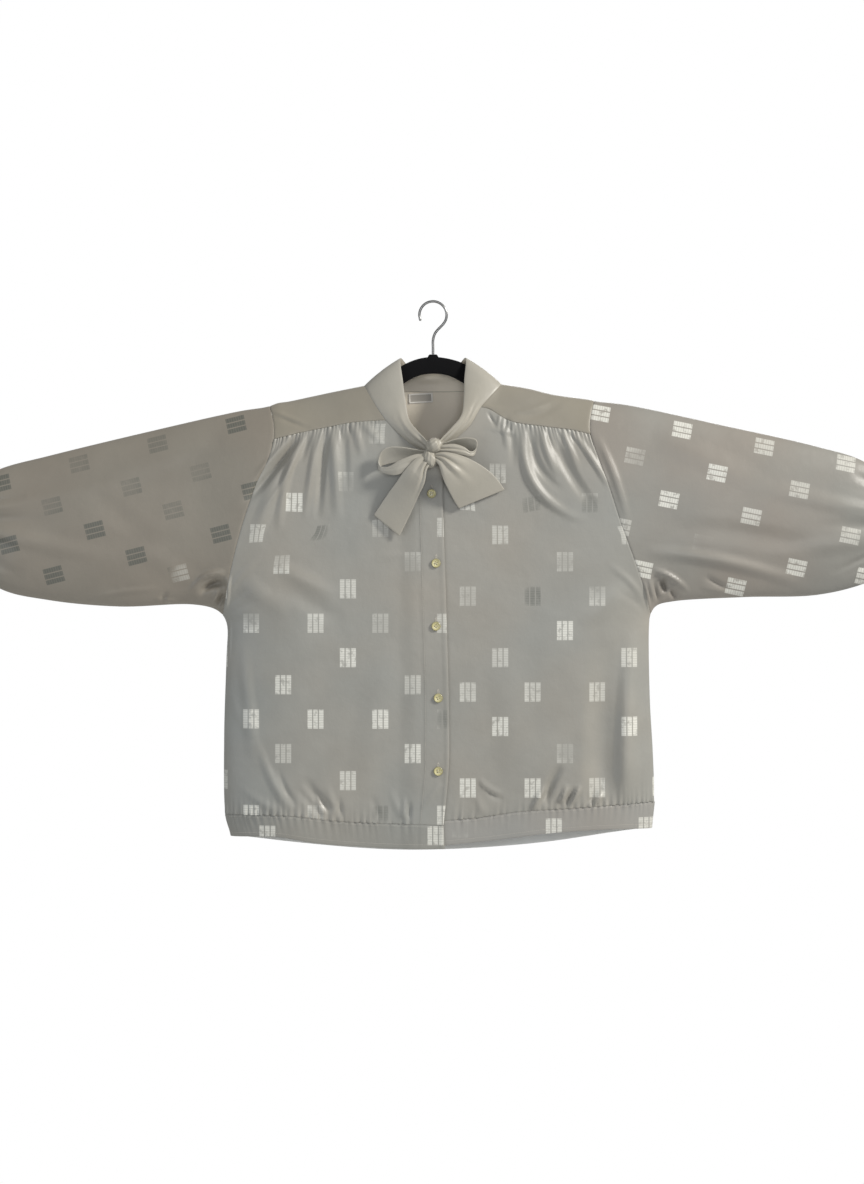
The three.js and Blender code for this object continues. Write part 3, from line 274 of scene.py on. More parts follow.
BACK_CREASES = table(FOLD,
    (-206, -236, -226, -330, 0, 10, 2, 0.3),
    (-60, -238, -66, -330, 0, 9, 1.4, 0.3),
    (20, -238, 24, -320, 0, 9, -1.4, 0.3),
    (100, -236, 108, -330, 0, 9, 1.5, 0.3),
    (196, -234, 222, -330, 0, 10, 2, 0.3),
    (-230, -360, -280, -410, 4, 8, 2, 0.7),
    (-244, -396, -282, -424, 2, 6, -1.8, 0.7),
    (236, -362, 290, -412, -4, 8, 2, 0.7),
    (248, -398, 292, -424, -2, 6, -1.8, 0.7),
    (-284, -378, -334, -406, 5, 5, 2, 0.3),
    (300, -378, 346, -404, -6, 5, 2, 0.3),
    (-642, -284, -560, -270, 0, 7, 2, 0.25),
    (-642, -316, -570, -334, 0, 7, 2, 0.25),
    (640, -284, 560, -262, 0, 7, 2, 0.25),
    (640, -328, 560, -350, 0, 7, 2, 0.25),
    (-120, -676, -104, -720, 0, 8, 1.4, 0.7),
    (36, -676, 30, -722, 0, 8, 1.4, 0.7),
    (140, -664, 126, -714, 0, 8, -1.4, 0.7))

FRONT = {"sign": -1, "lap": 0, "folds": joined_tables(FRONT_FOLDS, FRONT_CREASES)}
LAPPED_FRONT = {**FRONT, "lap": LAP_LIFT}
BACK = {"sign": 1, "lap": 0, "folds": joined_tables(BACK_FOLDS, BACK_CREASES)}


# Lines and the form of the cloth
def smooth(value, start, end):
    part = np.clip((value - start) / (end - start), 0, 1)
    return part * part * (3 - 2 * part)


def run_lengths(points):
    steps = np.linalg.norm(np.diff(points, axis=0), axis=1)
    return np.concatenate([[0], np.cumsum(steps)])


def catmull_rom(knots, shares):
    """Points of a centripetal Catmull-Rom curve at the given shares of its knots."""
    knots = np.asarray(knots, float)
    ends = (2 * knots[0] - knots[1], 2 * knots[-1] - knots[-2])
    padded = np.vstack([ends[0], knots, ends[1]])
    place = np.clip(np.asarray(shares, float), 0, 1) * (len(knots) - 1)
    low = np.minimum(place.astype(int), len(knots) - 2)
    t = (place - low)[:, None]
    p0, p1, p2, p3 = (padded[low + k] for k in range(4))

    def gap(a, b):
        return np.sqrt(np.linalg.norm(b - a, axis=1, keepdims=True))

    d0, d1, d2 = gap(p0, p1), gap(p1, p2), gap(p2, p3)
    t1 = ((p1 - p0) / d0 - (p2 - p0) / (d0 + d1) + (p2 - p1) / d1) * d1
    t2 = ((p2 - p1) / d1 - (p3 - p1) / (d1 + d2) + (p3 - p2) / d2) * d1
    return p1 + t1 * t + (3 * (p2 - p1) - 2 * t1 - t2) * t ** 2 + (2 * (p1 - p2) + t1 + t2) * t ** 3


def spots(rows):
    return np.column_stack([rows["x"], rows["z"]])


class Line:
    """A smooth line in the front view, sampled at even steps."""

    def __init__(self, knots):
        fine = catmull_rom(knots, np.linspace(0, 1, 60 * len(knots)))
        lengths = run_lengths(fine)
        even_lengths = np.linspace(0, lengths[-1], max(8, round(lengths[-1] / OUTLINE_STEP)) + 1)
        self.points = np.column_stack([np.interp(even_lengths, lengths, fine[:, k]) for k in (0, 1)])
        self.lengths = run_lengths(self.points)

    def at(self, share):
        distance = np.clip(share, 0, 1) * self.lengths[-1]
        return np.stack([np.interp(distance, self.lengths, self.points[:, k]) for k in (0, 1)], -1)

    def share_at(self, axis, value, start=0.0):
        """Where the line first crosses a given x or z, as a share of its length."""
        gaps = self.points[:, "xz".index(axis)] - value
        for i in np.flatnonzero(gaps[:-1] * gaps[1:] <= 0):
            part = gaps[i] / (gaps[i] - gaps[i + 1])
            share = (self.lengths[i] + (self.lengths[i + 1] - self.lengths[i]) * part) / self.lengths[-1]
            if share >= start:
                return share
        raise ValueError(f"no point of the line at {axis} = {value}")

    def span(self, start, end, fractions):
        return self.at(start + (end - start) * np.asarray(fractions))

    def distance(self, places, chunk=4000):
        a = self.points[:-1]
        run = np.diff(self.points, axis=0)
        squared = (run ** 2).sum(1)
        found = []
        for i in range(0, len(places), chunk):
            offset = places[i:i + chunk, None, :] - a
            part = np.clip((offset * run).sum(2) / squared, 0, 1)
            gap = offset - part[..., None] * run
            found.append(np.sqrt((gap ** 2).sum(2).min(1)))
        return np.concatenate(found)


ridges = [Line(spots(RIDGE_LEFT)), Line(spots(RIDGE_RIGHT))]
unders = [Line(spots(UNDER_LEFT)), Line(spots(UNDER_RIGHT))]
neck_bridge = Line(spots(NECK_BRIDGE))


def rounded(distance):
    """The depth of the hollow at a distance from its outline, as a quarter of an ellipse."""
    part = 1 - np.minimum(distance / ROUNDING, 1)
    return np.sqrt(1 - part * part)


def relief(x, z, folds):
    height = np.zeros_like(x)
    for fx, fz, tx, tz, bend, wide, high, peak in zip(*folds.values()):
        dx, dz = tx - fx, tz - fz
        length = math.hypot(dx, dz)
        along = ((x - fx) * dx + (z - fz) * dz) / length ** 2
        inside = np.clip(along, 0, 1)
        sideways = ((x - fx) * dz - (z - fz) * dx) / length - bend * 4 * inside * (1 - inside)
        across = (1 + np.cos(np.pi * np.clip(sideways / wide, -1, 1))) / 2
        rise = np.where(inside < peak, inside / peak, (1 - inside) / (1 - peak))
        height += high * across * np.sin(rise * np.pi / 2)
    return height


def placket_edge(z):
    """Where the placket's inner edge is at the heights z."""
    return np.interp(-z, -FRONT_EDGE_LEFT["z"], FRONT_EDGE_LEFT["x"]) - PLACKET


def placket_step(x, z):
    """The doubled cloth under the buttonholes, with a soft groove along its inner edge and a roll
    along the edge of the front."""
    inner = x - placket_edge(z)
    raised = PLACKET_RISE * smooth(inner, -1, 1.5)
    groove = PLACKET_GROOVE * (np.exp(-((inner + 1) / 1.6) ** 2) + 0.8 * np.exp(-((inner + 9) / 6) ** 2))
    rolled = PLACKET_ROLL * np.exp(-((inner - PLACKET + 2) / 1.8) ** 2)
    return (raised - groove) * smooth(-z, -PLACKET_FROM, -PLACKET_CLEAR) + rolled


def on_cloth(places, face):
    """Points of the cloth over places in the front view, as an array of the same shape."""
    flat = places.reshape(-1, 2)
    x, z = flat.T
    top = np.minimum.reduce([line.distance(flat) for line in (*ridges, neck_bridge)])
    under_left, under_right = (line.distance(flat) for line in unders)
    full = BODY_DEPTH + (SLEEVE_DEPTH - BODY_DEPTH) * smooth(abs(x), SLEEVE_FROM, SLEEVE_FULL)
    form = rounded(top) * rounded(under_left) * rounded(under_right)
    depth = form * (full + relief(x, z, face["folds"])) + face["lap"] * smooth(x, LAP_START, LAP_FULL)
    if face["lap"]:
        depth += placket_step(x, z)
    return np.column_stack([x, face["sign"] * depth, z]).reshape(*places.shape[:-1], 3)


def outward(places, face, step=0.4):
    """Directions out of the cloth at places, from its slope."""
    moves = ((step, 0), (-step, 0), (0, step), (0, -step))
    east, west, above, below = (on_cloth(places + np.array(move), face) for move in moves)
    normal = np.cross(east - west, above - below)
    normal *= np.sign(normal[..., 1:2]) * face["sign"]
    return unit(normal)


def unit(vectors):
    return vectors / np.maximum(np.linalg.norm(vectors, axis=-1, keepdims=True), 1e-9)


# Shares from 0 to 1 of an edge, evenly or with more points near its start or end
def even(count):
    return np.linspace(0, 1, count + 1)


def dense_start(count, power):
    return even(count) ** power


def dense_end(count, power):
    return 1 - (1 - even(count)) ** power


def crowded_start(count):
    return 1 - np.cos(even(count) * np.pi / 2)


def crowded_end(count):
    return np.sin(even(count) * np.pi / 2)


def crowded_ends(count):
    return (1 - np.cos(even(count) * np.pi)) / 2


def straight(a, b, fractions):
    return a + (b - a) * np.asarray(fractions)[:, None]


def joined(*lists):
    """Joins lists of points that meet end to end."""
    return np.concatenate([part if i == 0 else part[1:] for i, part in enumerate(lists)])


def patch(first, last, left, right):
    """Rows of places between four edges in the front view, by blending the edges."""
    def shares(edge):
        lengths = run_lengths(edge)
        return lengths / lengths[-1]

    u = ((shares(first) + shares(last)) / 2)[None, :, None]
    v = ((shares(left) + shares(right)) / 2)[:, None, None]
    sides = first[None] * (1 - v) + last[None] * v + left[:, None] * (1 - u) + right[:, None] * u
    corners = ((1 - u) * (1 - v) * first[0] + u * (1 - v) * first[-1]
               + (1 - u) * v * last[0] + u * v * last[-1])
    return sides - corners


# Meshes made of grids of points
def grid_normals(points, around=False):
    along = np.gradient(points, axis=0)
    if around:
        across = np.roll(points, -1, 1) - np.roll(points, 1, 1)
    else:
        across = np.gradient(points, axis=1)
    return unit(np.cross(along, across))


def body_normals(points, around=False):
    """Normals out of the hollow: to the front before the middle and to the back behind it."""
    normals = grid_normals(points, around)
    return normals * np.sign((normals[..., 1] * points[..., 1]).sum())


def edge_distances(points):
    """Distance of each point of a grid to its first, last, left and right edge, along the cloth."""
    down = np.linalg.norm(np.diff(points, axis=0), axis=2)
    over = np.linalg.norm(np.diff(points, axis=1), axis=2)
    first = np.vstack([np.zeros((1, points.shape[1])), np.cumsum(down, 0)])
    left = np.hstack([np.zeros((points.shape[0], 1)), np.cumsum(over, 1)])
    return {"first": first, "last": first[-1:] - first, "left": left, "right": left[:, -1:] - left}


def seamed(points, edges, thickness):
    """Draws the named edges back from their seams, so that two rounded edges meet there."""
    moved = points.copy()
    reach = SEAM / 2 + thickness / 2
    lines = {"first": ((0,), (1,)), "last": ((-1,), (-2,)),
             "left": ((slice(None), 0), (slice(None), 1)), "right": ((slice(None), -1), (slice(None), -2))}
    for edge in edges:
        at, inner = lines[edge]
        moved[at] += unit(points[inner] - points[at]) * reach
    return moved


def ruched(along, spacing, seed):
    """An uneven wave from -1 to 1, whose ridges stand about spacing apart."""
    rng = np.random.default_rng(seed)
    count = int(along.max() / spacing) + 4
    places = np.cumsum(spacing * rng.uniform(0.55, 1.45, count)) - 2 * spacing
    strengths = rng.uniform(0.35, 1, count)
    phase = np.interp(along, places, np.arange(count))
    return np.cos(2 * np.pi * phase) * np.interp(along, places, strengths)


def edge_strip(rings, closed):
    """Faces between rings of vertex numbers that run side by side."""
    rings = np.array(rings)
    if closed:
        rings = np.hstack([rings, rings[:, :1]])
    return np.stack([rings[:-1, :-1], rings[1:, :-1], rings[1:, 1:], rings[:-1, 1:]], -1).reshape(-1, 4)


def boundary(rows, columns, around):
    """Loops of grid places round the open edges, each with the place one step further in."""
    number = np.arange(rows * columns).reshape(rows, columns)
    if around:
        return [(number[0], number[1]), (number[-1][::-1], number[-2][::-1])]
    loop = np.concatenate([number[0, :-1], number[:-1, -1], number[-1, :0:-1], number[:0:-1, 0]])
    inner = np.concatenate([number[1, :-1], number[:-1, -2], number[-2, :0:-1], number[:0:-1, 1]])
    corners = {0: number[1, 1], columns - 1: number[1, -2],
               columns + rows - 2: number[-2, -2], 2 * columns + rows - 3: number[-2, 1]}
    for place, inward in corners.items():
        inner[place] = inward
    return [(loop, inner)]


def faces_along(verts, faces, directions):
    """The faces, turned over if they face against the directions given for them."""
    a, b, c = (verts[faces[:, k]] for k in range(3))
    facing = (np.cross(b - a, c - a) * directions).sum()
    return faces if facing > 0 else faces[:, ::-1]


def shell(points, normals, thickness, around=False):
    """Vertices and faces of a closed wall over a grid of points, its edges rounded like a fold.
    The third result gives the grid place of each vertex, for what is laid on the cloth."""
    rows, columns = points.shape[:2]
    flat, out = points.reshape(-1, 3), normals.reshape(-1, 3)
    half = thickness / 2
    count = rows * columns
    number = np.arange(count).reshape(rows, columns)
    if around:
        number = np.hstack([number, number[:, :1]])
    outer = np.stack([number[:-1, :-1], number[1:, :-1], number[1:, 1:], number[:-1, 1:]], -1).reshape(-1, 4)
    outer = faces_along(flat, outer, out[outer[:, 0]])
    verts = [flat + out * half, flat - out * half]
    faces = [outer, outer[:, ::-1] + count]
    places = [np.arange(count), np.arange(count)]
    used = 2 * count
    for loop, inner in boundary(rows, columns, around):
        away = unit(flat[loop] - flat[inner])
        rings = [loop]
        for turn in EDGE_TURNS:
            verts.append(flat[loop] + (out[loop] * math.cos(turn) + away * math.sin(turn)) * half)
            places.append(loop)
            rings.append(np.arange(used, used + len(loop)))
            used += len(loop)
        rings.append(loop + count)
        strip = edge_strip(rings, closed=True)
        faces.append(faces_along(np.concatenate(verts), strip, np.tile(away, (len(rings) - 1, 1))))
    return np.concatenate(verts), np.concatenate(faces), np.concatenate(places)


def inner_marks(faces, points):
    """1 for the faces on a shell's inner side, and 0 for the others."""
    count = points.shape[0] * points.shape[1]
    return ((faces >= count) & (faces < 2 * count)).all(1).astype(int)


def ring_solid(rings):
    """A closed body over rings of points that follow each other, with a flat face at each end."""
    rings = np.asarray(rings)
    count, around = rings.shape[:2]
    verts = rings.reshape(-1, 3)
    number = np.arange(count * around).reshape(count, around)
    faces = edge_strip(number, closed=True)
    middles = rings.mean(1)
    turned = faces_along(verts, faces, verts[faces[:, 0]] - middles[faces[:, 0] // around])
    ends = [number[0].tolist(), number[-1][::-1].tolist()]
    if turned is not faces:
        ends = [end[::-1] for end in ends]
    return verts, turned.tolist() + ends


def make_object(name, verts, faces, materials, pattern=None, shine=None, marks=None):
    """A smooth mesh object in metres. pattern is each vertex's place on the cut, in metres, and the
    argument after it the painted highlight and painted shade of the motifs there, from -1 for full
    painted shade to 1 for full painted highlight. marks is each face's number in the list of materials."""
    mesh = bpy.data.meshes.new(name)
    rows = faces if isinstance(faces, list) else faces.tolist()
    mesh.from_pydata((np.asarray(verts) * MM).tolist(), [], rows)
    for material in materials:
        mesh.materials.append(material)
    mesh.polygons.foreach_set("use_smooth", np.ones(len(mesh.polygons), bool))
    if marks is not None:
        mesh.polygons.foreach_set("material_index", marks)
    if pattern is not None:
        corner = np.empty(len(mesh.loops), int)
        mesh.loops.foreach_get("vertex_index", corner)
        layer = mesh.uv_layers.new(name="cut")
        layer.uv.foreach_set("vector", np.asarray(pattern)[corner].ravel())
    if shine is not None:
        # Each vertex's painted highlight and painted shade for the motifs
        mesh.attributes.new("shine", "FLOAT", "POINT").data.foreach_set("value", shine)
    mesh.update()
    piece = bpy.data.objects.new(name, mesh)
    bpy.context.scene.collection.objects.link(piece)
    return piece


def settle(piece, slot, *nodes):
    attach(piece, "root")
    if nodes:
        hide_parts(*nodes)
    return piece


# Pieces whose inner side shows the reverse of the cloth, its colour painted far lighter as painted light in
# the shaded hollow
INSIDE_PAINTED_LIGHT = ("yoke", "back", "collar", "hem_band_back")


def cloth_piece(name, points, slot, material, pattern, shine=None, seams=(), thickness=CLOTH,
                around=False, normals=None):
    """One piece of cloth in place of its solid: a thin shell on the grid of points."""
    points = seamed(points, seams, thickness)
    normals = body_normals(points, around) if normals is None else normals
    verts, faces, places = shell(points, normals, thickness, around)
    cut = pattern.reshape(-1, 2)[places]
    brightness = None if shine is None else shine.ravel()[places]
    marks = inner_marks(faces, points) if name in INSIDE_PAINTED_LIGHT else None
    # Inner faces take the reverse of the cloth, painted far lighter as painted light
    reverse = painted_light_band_reverse if name == "hem_band_back" else painted_light_reverse_satin
    piece = make_object(f"{name}_cloth", verts, faces, [material, reverse], cut, brightness, marks)
    settle(piece, slot, name)
    return points, normals


# Materials: each effect that more than one of them uses is a node group
def new_tree(name, kind, inputs, outputs):
    tree = bpy.data.node_groups.new(name, kind)
    for label, socket, value in inputs:
        made = tree.interface.new_socket(label, in_out="INPUT", socket_type=socket)
        if value is not None:
            made.default_value = value
    for label, socket in outputs:
        tree.interface.new_socket(label, in_out="OUTPUT", socket_type=socket)
    start = tree.nodes.new("NodeGroupInput")
    end = tree.nodes.new("NodeGroupOutput")
    return tree, start.outputs, end.inputs


def put(tree, kind, settings=None, **inputs):
    """Adds a node. Inputs are given by name or by number, as in2 for the third."""
    node = tree.nodes.new(kind)
    for key, value in (settings or {}).items():
        setattr(node, key, value)
    for key, value in inputs.items():
        numbered = key.startswith("in") and key[2:].isdigit()
        socket = node.inputs[int(key[2:])] if numbered else node.inputs[key.replace("_", " ")]
        if isinstance(value, bpy.types.NodeSocket):
            tree.links.new(value, socket)
        else:
            socket.default_value = value
    return node


def math_node(tree, operation, *values):
    inputs = {f"in{i}": value for i, value in enumerate(values)}
    return put(tree, "ShaderNodeMath", {"operation": operation}, **inputs).outputs[0]


def times(tree, value, factor):
    return math_node(tree, "MULTIPLY", value, factor)


def size_of(tree, value):
    return math_node(tree, "ABSOLUTE", value)


def mapped(tree, value, low, high, to_low=0.0, to_high=1.0):
    node = put(tree, "ShaderNodeMapRange", None, in0=value, in1=low, in2=high, in3=to_low, in4=to_high)
    return node.outputs[0]


def soft_inside(tree, distance, half, edge):
    """1 where the distance is under half, falling to 0 over a soft edge."""
    far = math_node(tree, "ADD", half, edge)
    near = math_node(tree, "SUBTRACT", half, edge)
    node = put(tree, "ShaderNodeMapRange", {"interpolation_type": "SMOOTHSTEP"},
               Value=distance, From_Min=far, From_Max=near)
    return node.outputs[0]


def number_sockets(**values):
    return [(name, "NodeSocketFloat", value) for name, value in values.items()]


VECTOR_SOCKET = ("Vector", "NodeSocketVector", None)


def bars_tree():
    """One motif: three bars side by side, woven with cross ribs."""
    sizes = number_sockets(
        Across=0.0, Along=0.0, Bar=0.0063, Gap=0.0015, Height=0.026, Rib=0.0033, Edge=0.0004)
    tree, given, result = new_tree("motif bars", "ShaderNodeTree", sizes, [("Mask", "NodeSocketFloat")])
    bar, edge = given["Bar"], given["Edge"]
    pitch = math_node(tree, "ADD", bar, given["Gap"])
    half_pitch = times(tree, pitch, 0.5)
    local = math_node(tree, "WRAP", given["Across"], half_pitch, times(tree, half_pitch, -1.0))
    in_bar = soft_inside(tree, size_of(tree, local), times(tree, bar, 0.5), edge)
    in_width = soft_inside(tree, size_of(tree, given["Across"]), times(tree, pitch, 1.5), edge)
    in_height = soft_inside(tree, size_of(tree, given["Along"]), times(tree, given["Height"], 0.5), edge)
    turns = math_node(tree, "DIVIDE", times(tree, given["Along"], 2 * math.pi), given["Rib"])
    rib = math_node(tree, "MULTIPLY_ADD", math_node(tree, "COSINE", turns), 0.16, 0.84)
    inside = times(tree, times(tree, in_bar, in_width), in_height)
    tree.links.new(times(tree, inside, rib), result["Mask"])
    return tree


def motif_tree(bars):
    """The repeat of the jacquard: columns of single motifs, and between them columns of pairs,
    every second of which is moved by one repeat. Tone is a random value for each motif."""
    inputs = [VECTOR_SOCKET, *number_sockets(Column=0.0885, Repeat=0.131, Pair=0.047)]
    outputs = [("Mask", "NodeSocketFloat"), ("Tone", "NodeSocketFloat")]
    tree, given, result = new_tree("motif repeat", "ShaderNodeTree", inputs, outputs)
    place = put(tree, "ShaderNodeSeparateXYZ", in0=given["Vector"]).outputs
    column, repeat = given["Column"], given["Repeat"]
    half_column = times(tree, column, 0.5)
    less_half_column = times(tree, column, -0.5)
    half_repeat = times(tree, repeat, 0.5)

    def bars_at(across, along):
        node = put(tree, "ShaderNodeGroup", {"node_tree": bars}, Across=across, Along=along)
        return node.outputs["Mask"]

    def tone(across_cell, along_cell, family):
        cell = put(tree, "ShaderNodeCombineXYZ", in0=across_cell, in1=along_cell, in2=family).outputs[0]
        return put(tree, "ShaderNodeTexWhiteNoise", {"noise_dimensions": "3D"}, Vector=cell).outputs["Value"]

    def cell_of(value, size, rounding):
        return math_node(tree, rounding, math_node(tree, "DIVIDE", value, size))

    single_u = math_node(tree, "WRAP", place["X"], half_column, less_half_column)
    single_v = math_node(tree, "WRAP", place["Y"], half_repeat, times(tree, half_repeat, -1.0))
    single = bars_at(single_u, single_v)
    single_tone = tone(cell_of(place["X"], column, "ROUND"), cell_of(place["Y"], repeat, "ROUND"), 0.3)

    moved = math_node(tree, "SUBTRACT", place["X"], half_column)
    pair_u = math_node(tree, "WRAP", moved, half_column, less_half_column)
    cell = cell_of(place["X"], column, "FLOOR")
    shift = times(tree, math_node(tree, "FLOORED_MODULO", cell, 2.0), repeat)
    pair_place = math_node(tree, "SUBTRACT", place["Y"], shift)
    pair_v = math_node(tree, "WRAP", pair_place, repeat, times(tree, repeat, -1.0))
    pair = bars_at(pair_u, math_node(tree, "SUBTRACT", size_of(tree, pair_v), given["Pair"]))
    pair_tone = tone(cell, cell_of(pair_place, repeat, "FLOOR"), 0.7)

    tree.links.new(math_node(tree, "MAXIMUM", single, pair), result["Mask"])
    is_pair = math_node(tree, "GREATER_THAN", pair, 0.001)
    chosen = put(tree, "ShaderNodeMix", {"data_type": "FLOAT"}, in0=is_pair, in2=single_tone, in3=pair_tone)
    tree.links.new(chosen.outputs[0], result["Tone"])
    return tree


def weave_tree():
    """Fine satin threads that cross, as a height from 0 to 1."""
    inputs = [VECTOR_SOCKET, *number_sockets(Thread=0.0004)]
    tree, given, result = new_tree("satin weave", "ShaderNodeTree", inputs, [("Height", "NodeSocketFloat")])
    place = put(tree, "ShaderNodeSeparateXYZ", in0=given["Vector"]).outputs

    def threads(value, share):
        turns = math_node(tree, "DIVIDE", times(tree, value, share * 2 * math.pi), given["Thread"])
        return math_node(tree, "MULTIPLY_ADD", math_node(tree, "SINE", turns), 0.5, 0.5)

    warp = threads(place["X"], 1.0)
    weft = threads(place["Y"], 0.4)
    tree.links.new(math_node(tree, "MULTIPLY_ADD", weft, 0.5, times(tree, warp, 0.5)), result["Height"])
    return tree


def drift_tree():
    """Slow changes of hue and depth over the cloth, and fine crumpled lines."""
    inputs = [VECTOR_SOCKET, *number_sockets(Spread=6.0, Crumple=55.0)]
    outputs = [("Hue", "NodeSocketFloat"), ("Depth", "NodeSocketFloat"), ("Crumple", "NodeSocketFloat")]
    tree, given, result = new_tree("cloth drift", "ShaderNodeTree", inputs, outputs)

    def noise(scale, detail, roughness=0.5):
        node = put(tree, "ShaderNodeTexNoise", {"noise_dimensions": "3D"}, Vector=given["Vector"],
                   Scale=scale, Detail=detail, Roughness=roughness)
        return node.outputs[0]

    tree.links.new(noise(given["Spread"], 2.0), result["Hue"])
    tree.links.new(noise(times(tree, given["Spread"], 3.0), 3.0), result["Depth"])
    tree.links.new(noise(given["Crumple"], 4.0, 0.55), result["Crumple"])
    return tree


motif = motif_tree(bars_tree())
weave = weave_tree()
drift = drift_tree()


def new_material(name, **constants):
    material = bpy.data.materials.new(name)
    material.use_nodes = True
    tree = material.node_tree
    shader = tree.nodes["Principled BSDF"]
    for label, value in constants.items():
        shader.inputs[label.replace("_", " ")].default_value = value
    return material, tree, shader


def mixed(tree, factor, a, b, blend="MIX"):
    node = put(tree, "ShaderNodeMix", {"data_type": "RGBA", "blend_type": blend}, in0=factor, in6=a, in7=b)
    return node.outputs[2]


def rgb(r, g, b):
    """A colour of 0 to 255 as seen, for a shader."""
    def linear(value):
        value /= 255
        return value / 12.92 if value <= 0.04045 else ((value + 0.055) / 1.055) ** 2.4
    return (linear(r), linear(g), linear(b), 1)


SATIN_ROUGHNESS = 0.42
# The motifs' colours are painted light: a painted highlight where the satin floats catch the light, painted
# shade where they miss it
MOTIF_PAINTED_HIGHLIGHT, MOTIF_PAINTED_SHADE = rgb(222, 222, 214), rgb(88, 92, 86)
MOTIF_SMOOTHER = 0.12
MOTIF_RAISED = 1.5


def painted_motif_masks(tree, cut, mask, tone):
    """How much of the painted highlight colour and of the painted shade colour of the motifs shows.
    The vertex attribute of painted sheen says which of them a motif takes, and how strongly."""
    # Painted highlight and painted shade of the motifs, stored on the vertices
    shine = put(tree, "ShaderNodeAttribute", {"attribute_name": "shine"}).outputs["Fac"]
    mottle = put(tree, "ShaderNodeTexNoise", None, Vector=cut, Scale=110.0, Detail=3.0, Roughness=0.6)
    patchy = mapped(tree, mottle.outputs[0], 0.36, 0.46, 0.4, 1.0)
    strength = mapped(tree, tone, 0.0, 0.6, 0.55, 1.0)
    lit = math_node(tree, "MAXIMUM", shine, 0.0)
    bright = times(tree, times(tree, times(tree, mask, patchy), strength), lit)
    depth = math_node(tree, "MAXIMUM", times(tree, shine, -1.0), 0.0)
    solid = put(tree, "ShaderNodeMix", {"data_type": "FLOAT"}, in0=depth, in2=patchy, in3=1.0).outputs[0]
    return bright, times(tree, times(tree, mask, solid), depth)


def satin(name, warm, cool, repeat=None):
    """Grey silky satin. repeat gives the sizes of the jacquard's motif, or None for plain satin."""
    material, tree, shader = new_material(
        name, Roughness=SATIN_ROUGHNESS, Sheen_Weight=0.25, Sheen_Roughness=0.35, Specular_IOR_Level=0.5)
    place = put(tree, "ShaderNodeTexCoord").outputs["Object"]
    cut = put(tree, "ShaderNodeUVMap", {"uv_map": "cut"}).outputs[0]
    slow = put(tree, "ShaderNodeGroup", {"node_tree": drift}, Vector=place).outputs
    ground = mixed(tree, mapped(tree, slow["Hue"], 0.25, 0.75), warm, cool)
    deep = mapped(tree, slow["Depth"], 0.3, 0.7, 0.95, 1.04)
    depth_colour = put(tree, "ShaderNodeCombineColor", None, in0=deep, in1=deep, in2=deep).outputs[0]
    colour = mixed(tree, 1.0, ground, depth_colour, "MULTIPLY")
    height = put(tree, "ShaderNodeGroup", {"node_tree": weave}, Vector=cut).outputs[0]
    if repeat:
        figure = put(tree, "ShaderNodeGroup", {"node_tree": motif}, Vector=cut, **repeat).outputs
        # The motifs' pattern is woven; their colour here is painted highlight and painted shade, spot by spot
        bright, dark = painted_motif_masks(tree, cut, figure["Mask"], figure["Tone"])
        colour = mixed(tree, bright, colour, MOTIF_PAINTED_HIGHLIGHT)
        colour = mixed(tree, dark, colour, MOTIF_PAINTED_SHADE)
        height = math_node(tree, "MULTIPLY_ADD", figure["Mask"], MOTIF_RAISED, height)
        roughness = math_node(tree, "MULTIPLY_ADD", bright, -MOTIF_SMOOTHER, SATIN_ROUGHNESS)
        tree.links.new(roughness, shader.inputs["Roughness"])
    tree.links.new(colour, shader.inputs["Base Color"])
    crumple = put(tree, "ShaderNodeBump", None, Height=slow["Crumple"], Strength=0.4, Distance=0.0014)
    threads = put(tree, "ShaderNodeBump", None, Height=height, Strength=0.25, Distance=0.00006,
                  Normal=crumple.outputs[0])
    tree.links.new(threads.outputs[0], shader.inputs["Normal"])
    return material


body_satin = satin("body jacquard", rgb(156, 152, 143), rgb(149, 151, 147), {"Column": 0.0885})
# Lit and shaded copies of the one sleeve cloth: the left sleeve's colour is painted darker than the right's,
# as painted shade on the side away from the key light
shaded_left_sleeve_satin = satin("shaded left sleeve jacquard", rgb(140, 133, 122), rgb(138, 134, 124),
                   {"Column": 0.094, "Repeat": 0.111, "Pair": 0.0555})
right_satin = satin("right sleeve jacquard", rgb(149, 142, 133), rgb(142, 143, 138),
                    {"Column": 0.098, "Repeat": 0.115, "Pair": 0.0575})
# Lit and shaded copies of the one band cloth: the left band's colour is painted darker than the right's, as
# painted shade on the side away from the key light
shaded_left_band_satin = satin("shaded left band jacquard", rgb(148, 145, 137), rgb(143, 145, 141), {"Column": 0.115})
right_band_satin = satin("right band jacquard", rgb(156, 152, 145), rgb(150, 151, 148), {"Column": 0.128})
plain_satin = satin("plain satin", rgb(147, 141, 127), rgb(145, 141, 131))
tie_satin = satin("tie satin", rgb(172, 167, 154), rgb(165, 163, 155))
# The reverse of the satin is a duller face of the cloth; its near-white colour is painted light, standing in
# for light in the shaded hollow inside the neck and under the front hem
painted_light_reverse_satin = satin("reverse of the satin", rgb(226, 214, 194), rgb(218, 210, 194))
painted_light_band_reverse = satin("reverse of the back band", rgb(231, 231, 228), rgb(226, 229, 228))


def plain_material(name, colour, grain_scale, grain_height, **constants):
    """A material in one colour, with a fine uneven surface."""
    material, tree, shader = new_material(name, Base_Color=colour, **constants)
    place = put(tree, "ShaderNodeTexCoord").outputs["Object"]
    grain = put(tree, "ShaderNodeTexNoise", None, Vector=place, Scale=grain_scale, Detail=3.0).outputs[0]
    uneven = put(tree, "ShaderNodeBump", None, Height=grain, Strength=0.6, Distance=grain_height)
    tree.links.new(uneven.outputs[0], shader.inputs["Normal"])
    return material


